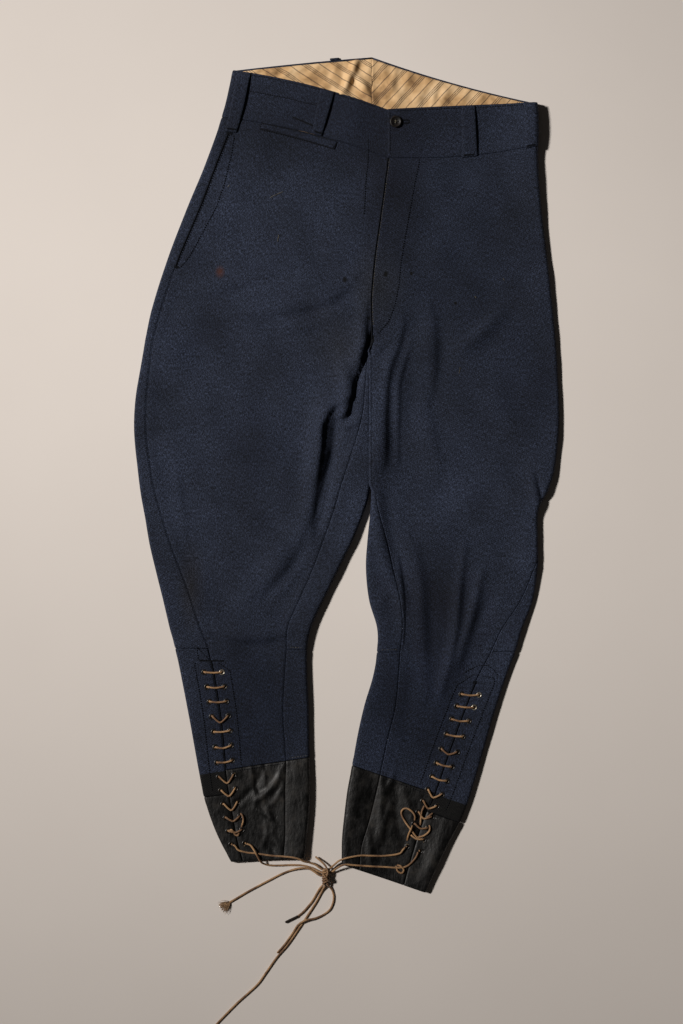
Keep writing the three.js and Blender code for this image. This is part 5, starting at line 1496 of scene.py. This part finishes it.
# finer rows, pulled down into the cloth: their near-black thread is partly painted shade along
# the seams
FINE_ROWS = [
    # side and leg seams
    (RIGHT, "outseam", [(228, -2), (700, -2)]), (LEFT, "outseam", [(600, -2), (735, -2)]),
    (RIGHT, "inseam", [(470, 2), (840, 2)]), (LEFT, "inseam", [(560, 2), (852, 2)]),
    # knee seams
    (RIGHT, "outseam", [(702, -38), (702, -3)]), (LEFT, "outseam", [(702, -26), (702, -3)]),
    (RIGHT, "inseam", [(702, -3), (702, -22)]), (LEFT, "inseam", [(702, -3), (702, -24)]),
]
PALE_ROWS = [
    (RIGHT, "inseam", [(841, -4), (841, -27)]), (RIGHT, "inseam", [(696, -4), (696, -20)]),
    (LEFT, "inseam", [(696, -4), (696, -24)]), (LEFT, "middle", [(62, 2.5), (300, 2.5)]),
    (RIGHT, "fold", [(64.5, 56), (68.5, 146)]),
    # a frayed end at the top of the fly
    (LEFT, "middle", [(63, 0.5), (70, 2)]), (LEFT, "middle", [(64, 4), (68, 1.5)]),
]
STITCH, STITCH_STEP = 2.3, 3.0
# the navy rows are thicker than thread: partly stitching, partly painted shade of the seams'
# furrows
for piece_name, thread, thick, lines in (("seam_stitches_and_painted_shade", DARK_THREAD_AND_SHADE, 1.05, NAVY_ROWS),
                                         ("sunk_stitches_and_painted_shade", DARK_THREAD_AND_SHADE, 0.45, FINE_ROWS),
                                         ("faded_stitches", PALE_THREAD, 0.4, PALE_ROWS)):
    shapes = [stitched(line_on(*line), STITCH, STITCH_STEP, thick) for line in lines]
    mesh_piece(piece_name, joined(shapes), thread)

# Seams that were pressed shut again in wear: the cloth of their turnings fills them.
CLOSED_DEPTH = 0.65
CLOSED_ROLL = 3.1, 1.5, 0.9       # length, step and thickness, as for the stitches
shapes = []
for line in ((RIGHT, "outseam", [(228, 0), (698, 0)]), (LEFT, "inseam", [(330, 0), (512, 0)])):
    points, normals = line_on(*line)
    shapes.append(stitched((points - normals * CLOSED_DEPTH, normals), *CLOSED_ROLL))
mesh_piece("closed_turnings", joined(shapes), TWILL)

# Pockets' mouths and the fly's edge, which gape a little: a dark cord of shadow.
MOUTHS = [(RIGHT, "outseam", [(76, 0), (221, 0)]), (RIGHT, "fold", [(61, 53), (62, 148)]),
          (RIGHT, "fold", [(66.5, 53), (71.5, 149), (62, 149)]),
          (RIGHT, "fold", [(46, 88), (50, 115)]), (LEFT, "middle", [(61, 0.3), (316, 0.3)]),
          (LEFT, "outseam", [(736, 0), (870, 0)]), (RIGHT, "outseam", [(714, 0), (842, 0)])]
MOUTH_CORD = 3.1, 1.7, 1.5
mesh_piece("piped_mouths", joined([stitched(line_on(*line), *MOUTH_CORD) for line in MOUTHS]),
           DARK_THREAD_AND_SHADE)

# bar tacks: close stitches laid across the ends of the pocket, fly, loops and slit, each
# with its width and how far it lies over the cloth's line
ON_CLOTH, ON_LOOP = 0.15, 2.6
TACKS = [
    (RIGHT, "outseam", [(222, -1.5), (222, 4)], 4, ON_CLOTH),
    (RIGHT, "outseam", [(75, -1.5), (75, 6)], 4, ON_CLOTH),
    (LEFT, "middle", [(312, 2), (326, 1)], 4, ON_CLOTH),
    (LEFT, "middle", [(61, 1), (66, 1)], 3, ON_CLOTH),
    (RIGHT, "fold", [(46, 88), (50, 115)], 2.2, ON_CLOTH),
    (RIGHT, "fold", [(71, 12), (71, 23)], 2.4, ON_LOOP),
    (RIGHT, "fold", [(57, 119), (57, 129)], 2.4, ON_LOOP),
    (LEFT, "fold", [(59, 80), (59, 93)], 2.4, ON_LOOP),
    (LEFT, "fold", [(59, 5), (59, 14)], 2.4, ON_LOOP),
    (RIGHT, "outseam", [(714, -14), (714, 16)], 2.2, ON_CLOTH),
    (LEFT, "outseam", [(736, -2), (736, 3)], 4, ON_CLOTH)]
shapes = []
for leg, edge, stops, wide, over in TACKS:
    points, normals = line_on(leg, edge, stops, 0.5)
    shapes.append(stitched((points + normals * over, normals), 0, 0.45, 0.42, wide))
mesh_piece("bar_tacks", joined(shapes), DARK_THREAD_AND_SHADE)

# the buttonhole: close stitches round a slit that runs out from under the button
hole_way = [(14.2, 14), (14.2, 25), (14.9, 26.8), (16, 27.6), (17.1, 26.8), (17.8, 25),
            (17.8, 14)]
points, normals = line_on(LEFT, "middle", hole_way, 0.4)
mesh_piece("buttonhole_stitches",
           joined([stitched((points, normals), 0, 0.5, 0.45, 2.6)]), DARK_THREAD_AND_SHADE)


# ---- eyelets ---------------------------------------------------------
# Rolled brass eyelets, 7.5 mm over the flange with a 4 mm hole, japanned black; three of
# them have lost their paint.
FLANGE = [(2.0, -1.3), (2.45, -1.3), (2.45, 0.78), (3.4, 0.8), (3.75, 0.9), (3.7, 1.1),
          (3.2, 1.3), (2.6, 1.32), (2.15, 1.15), (2.0, 0.8)]
# japanned brass: stoved black lacquer, smooth and glossy, chipped to dull brass
japanned = mottled("japanned_brass", 420, 3, [(0.5, "#0d0b0a"), (0.64, "#1c1815"),
                                              (0.72, "#8a7658")],
                   Metallic=0.2, Roughness=0.38, Coat_Weight=0.4, Coat_Roughness=0.3)
# brass with its nickel laid bare: a grey metal shine, clouded with tarnish
bare = mottled("bare_nickelled_brass", 500, 3, [(0.35, "#6d6557"), (0.55, "#b9b2a4"),
                                                (0.75, "#dcd6ca")],
               Metallic=0.9, Roughness=0.32)
BARE = {("right", 0, 1), ("left", 0, 0), ("left", 1, 0)}
bare_rings = []
for leg in (RIGHT, LEFT):
    holes = eyelet_spots(leg)
    rings = []
    for k in range(EYELET_ROWS):
        for column in (0, 1):
            frame_at = [holes[key][k, column] for key in ("point", "normal", "inwards")]
            ring = turned(FLANGE, 20, frame_at)
            (bare_rings if (leg["name"], k, column) in BARE else rings).append(ring)
    mesh_piece(f"eyelets_{leg['name']}", joined(rings), japanned)
mesh_piece("eyelets_bare", joined(bare_rings), bare)

# ---- lacing ----------------------------------------------------------
# Straight lacing: a bar of lace across each row outside, and long runs down the inside.
# The lowest rows have worked loose and hang in points and loops over the cuffs.
BAR_CLEAR = SKIN + LACE / 2 + 0.4
INSIDE_CLEAR = SKIN + LACE / 2 + 0.35
PASS = 1.1
LANE = 2.7
# how far each row's bar sags down the leg
SAGS = {"right": (0.6, 1.2, 1.0, 7.5, 0.8, 2.0, 1.0, 8.5, 8.0, 8.5, 5.0, 2.5, 1),
        "left": (1.0, 0.6, 1.2, 0.8, 4.5, 1.0, 1.4, 7.0, 6.0, 5.0, 3.0, 2.0, 1)}


def lace_line(leg):
    """The lace's line: from where one end comes out by the hem, up through the odd rows'
    eyelets to the top bar, and down through the even rows' to the other end."""
    spots = eyelet_spots(leg)
    sags = SAGS[leg["name"]]
    last = EYELET_ROWS - 1

    def get(k, column):
        return (spots[key][k, column] for key in ("point", "inwards", "down", "normal"))

    def outside(k, column, way):
        point, inwards, _, normal = get(k, column)
        return point + normal * BAR_CLEAR + inwards * way * PASS

    def inside(k, column, way):
        point, _, down, normal = get(k, column)
        return point - normal * INSIDE_CLEAR + down * way * PASS

    def bar(k, start):
        ends = outside(k, start, 1 - 2 * start), outside(k, 1 - start, 2 * start - 1)
        _, _, down, normal = get(k, 0)
        middle = (ends[0] + ends[1]) / 2 + down * sags[k] + normal * 0.45
        if sags[k] < 3:
            return [ends[0], middle, ends[1]]
        sides = [mix(end, middle, 0.5) + normal * 0.3 + down * 0.12 * sags[k] for end in ends]
        return [ends[0], sides[0], middle, sides[1], ends[1]]

    def run(k, following, column, last_column, lane):
        ends = inside(k, column, 1), inside(following, last_column, -1)
        if following - k < 2:
            return list(ends)
        _, inwards, _, _ = get(k, column)
        return [ends[0], (ends[0] + ends[1]) / 2 + inwards * lane * LANE, ends[1]]

    def end(column, first_row, lane):
        points = [outside(0, column, 1 - 2 * column)]
        k, at = 0, column
        for following in range(first_row, last, 2):
            points += run(k, following, at, at, lane) + bar(following, at)
            k, at = following, 1 - at
        return points + run(k, last, at, column, 0) + [outside(last, column, 1)]
    return end(0, 1, 1)[::-1] + [bar(0, 0)[1]] + end(1, 2, -1)


# Slack that has pulled out over the cuffs: (x, y, how far it clears the leather).
SLACK = {
    "right": [[(-132.5, -423.8, -2), (-130.5, -425, 0.6), (-128.8, -430, 1.2), (-130, -437, 1),
               (-132.6, -444, 0.8), (-135, -449.5, 0.4), (-138, -451, -1.5)],
              [(-148, -447, 0), (-144, -443.5, 0.6), (-141, -446, 1), (-138.5, -450, 1.2),
               (-135, -450.5, 0.5)]],
    "left": [[(103.5, -438.5, -1.5), (104.2, -441, 0.5), (103, -445.5, 0.7), (98, -450, 0.5),
              (92, -452.5, 0.3), (87.6, -452.5, 0.3), (81, -444, 0.3), (73.5, -434, 0.3),
              (68.5, -424, 0.3), (70.5, -418, 0.3), (76, -417, 0.3), (82.5, -421.5, 0.3),
              (85.5, -428, 0.6), (83.5, -436, 1.6), (80.6, -442, 3.0), (78, -448, 1.6),
              (76.5, -453, 0.4), (76, -457, -1)],
             [(97, -414, 0), (94, -421, 0.6), (92.8, -430, 0.6), (92.4, -437.5, -0.6)],
             [(100.5, -428, -0.6), (104, -425.5, 0.6), (107, -423.5, -0.4)],
             [(62, -489, -1), (64, -495, 0.4), (69, -497.5, 0.3), (71.5, -493.5, 0.5),
              (68, -489, 1.2), (63.5, -487.5, 0.4)]]}


def laid_on(leg, route):
    """A route of lace laid on a leg's cuff: each point as far above the leather as it
    says, found by looking straight down on it."""
    name = leg["name"]
    cuffs = [bpy.data.objects[f"leather_{part}_{name}"] for part in ("front", "back")]
    points = []
    for x, y, clear in route:
        above = Vector((x * MM, y * MM, 0.1))
        found = [cuff.ray_cast(above, Vector((0, 0, -1))) for cuff in cuffs]
        top = max([spot.z for hit, spot, _, _ in found if hit], default=0)
        points.append((x, y, top / MM + LACE / 2 + clear))
    return np.array(points)


for leg in (RIGHT, LEFT):
    lines = [lace_line(leg)] + [laid_on(leg, route) for route in SLACK[leg["name"]]]
    shapes = [lace_shape(*smooth_path(line, LACE_STEP)) for line in lines]
    mesh_piece(f"lace_through_{leg['name']}", joined(shapes), LACE_COTTON,
               [f"lacing_{leg['name']}"])

# a few pale fibres of lint: leg, place down it and in from the side fold, and length
rng = np.random.default_rng(5)
LINT = [(RIGHT, 133, 103, 15), (RIGHT, 186, 128, 9), (LEFT, 348, 124, 9),
        (RIGHT, 128, 40, 2.2), (LEFT, 262, 96, 3), (LEFT, 240, 58, 2.5)]
LINT_CLEAR, LINT_RADIUS = 0.45, 0.26
wisps = []
for leg, at, s, long in LINT:
    t = np.linspace(-0.5, 0.5, 5)
    way = rng.uniform(0, math.pi)
    spot = top_spots(leg, at + long * t * math.sin(way) + rng.uniform(-0.8, 0.8, 5),
                     s + long * t * math.cos(way))
    line = spot["point"] + spot["normal"] * (SKIN + LINT_CLEAR)
    wisps.append(tube(*smooth_path(line, 0.8), LINT_RADIUS, 5))
mesh_piece("lint", joined(wisps), PALE_THREAD)

# ---- floor and light -------------------------------------------------
# A plain pale board under the breeches, and one soft lamp far off to the upper left, with
# a little warm light from all round. The view shows colours as they are.
FLOOR_SIDE = 9000
# painted board: flat and matt, with the faintest clouding
plain_floor = mottled("pale_board", 3, 5, [(0.3, "#d9d2cc"), (0.7, "#ddd6d0")], Roughness=0.9,
                      Specular_IOR_Level=0.1)
half = FLOOR_SIDE / 2 * MM
floor_mesh = bpy.data.meshes.new("floor")
floor_corners = [(-half, -half, 0), (half, -half, 0), (half, half, 0), (-half, half, 0)]
floor_mesh.from_pydata(floor_corners, [], [(0, 1, 2, 3)])
floor_mesh.materials.append(plain_floor)
floor = bpy.data.objects.new("floor", floor_mesh)
bpy.context.collection.objects.link(floor)

LAMP_FROM, LAMP_AT = (-5200, 1500, 5200), (-150, 250, 0)
lamp_data = bpy.data.lights.new("lamp", "AREA")
lamp_data.shape, lamp_data.size = "DISK", 0.9
lamp_data.energy = 21
lamp_data.color = linear("#fffaf5")[:3]
lamp_data.spread = math.radians(31)
lamp = bpy.data.objects.new("lamp", lamp_data)
lamp.location = [v * MM for v in LAMP_FROM]
towards = Vector(np.subtract(LAMP_AT, LAMP_FROM))
lamp.rotation_euler = towards.to_track_quat("-Z", "Y").to_euler()
bpy.context.collection.objects.link(lamp)
world = bpy.data.worlds.new("studio")
bpy.context.scene.world = world
world.use_nodes = True
world.node_tree.nodes["Background"].inputs["Color"].default_value = linear("#fff4ea")
world.node_tree.nodes["Background"].inputs["Strength"].default_value = 0.02

bpy.context.scene.view_settings.view_transform = "Standard"
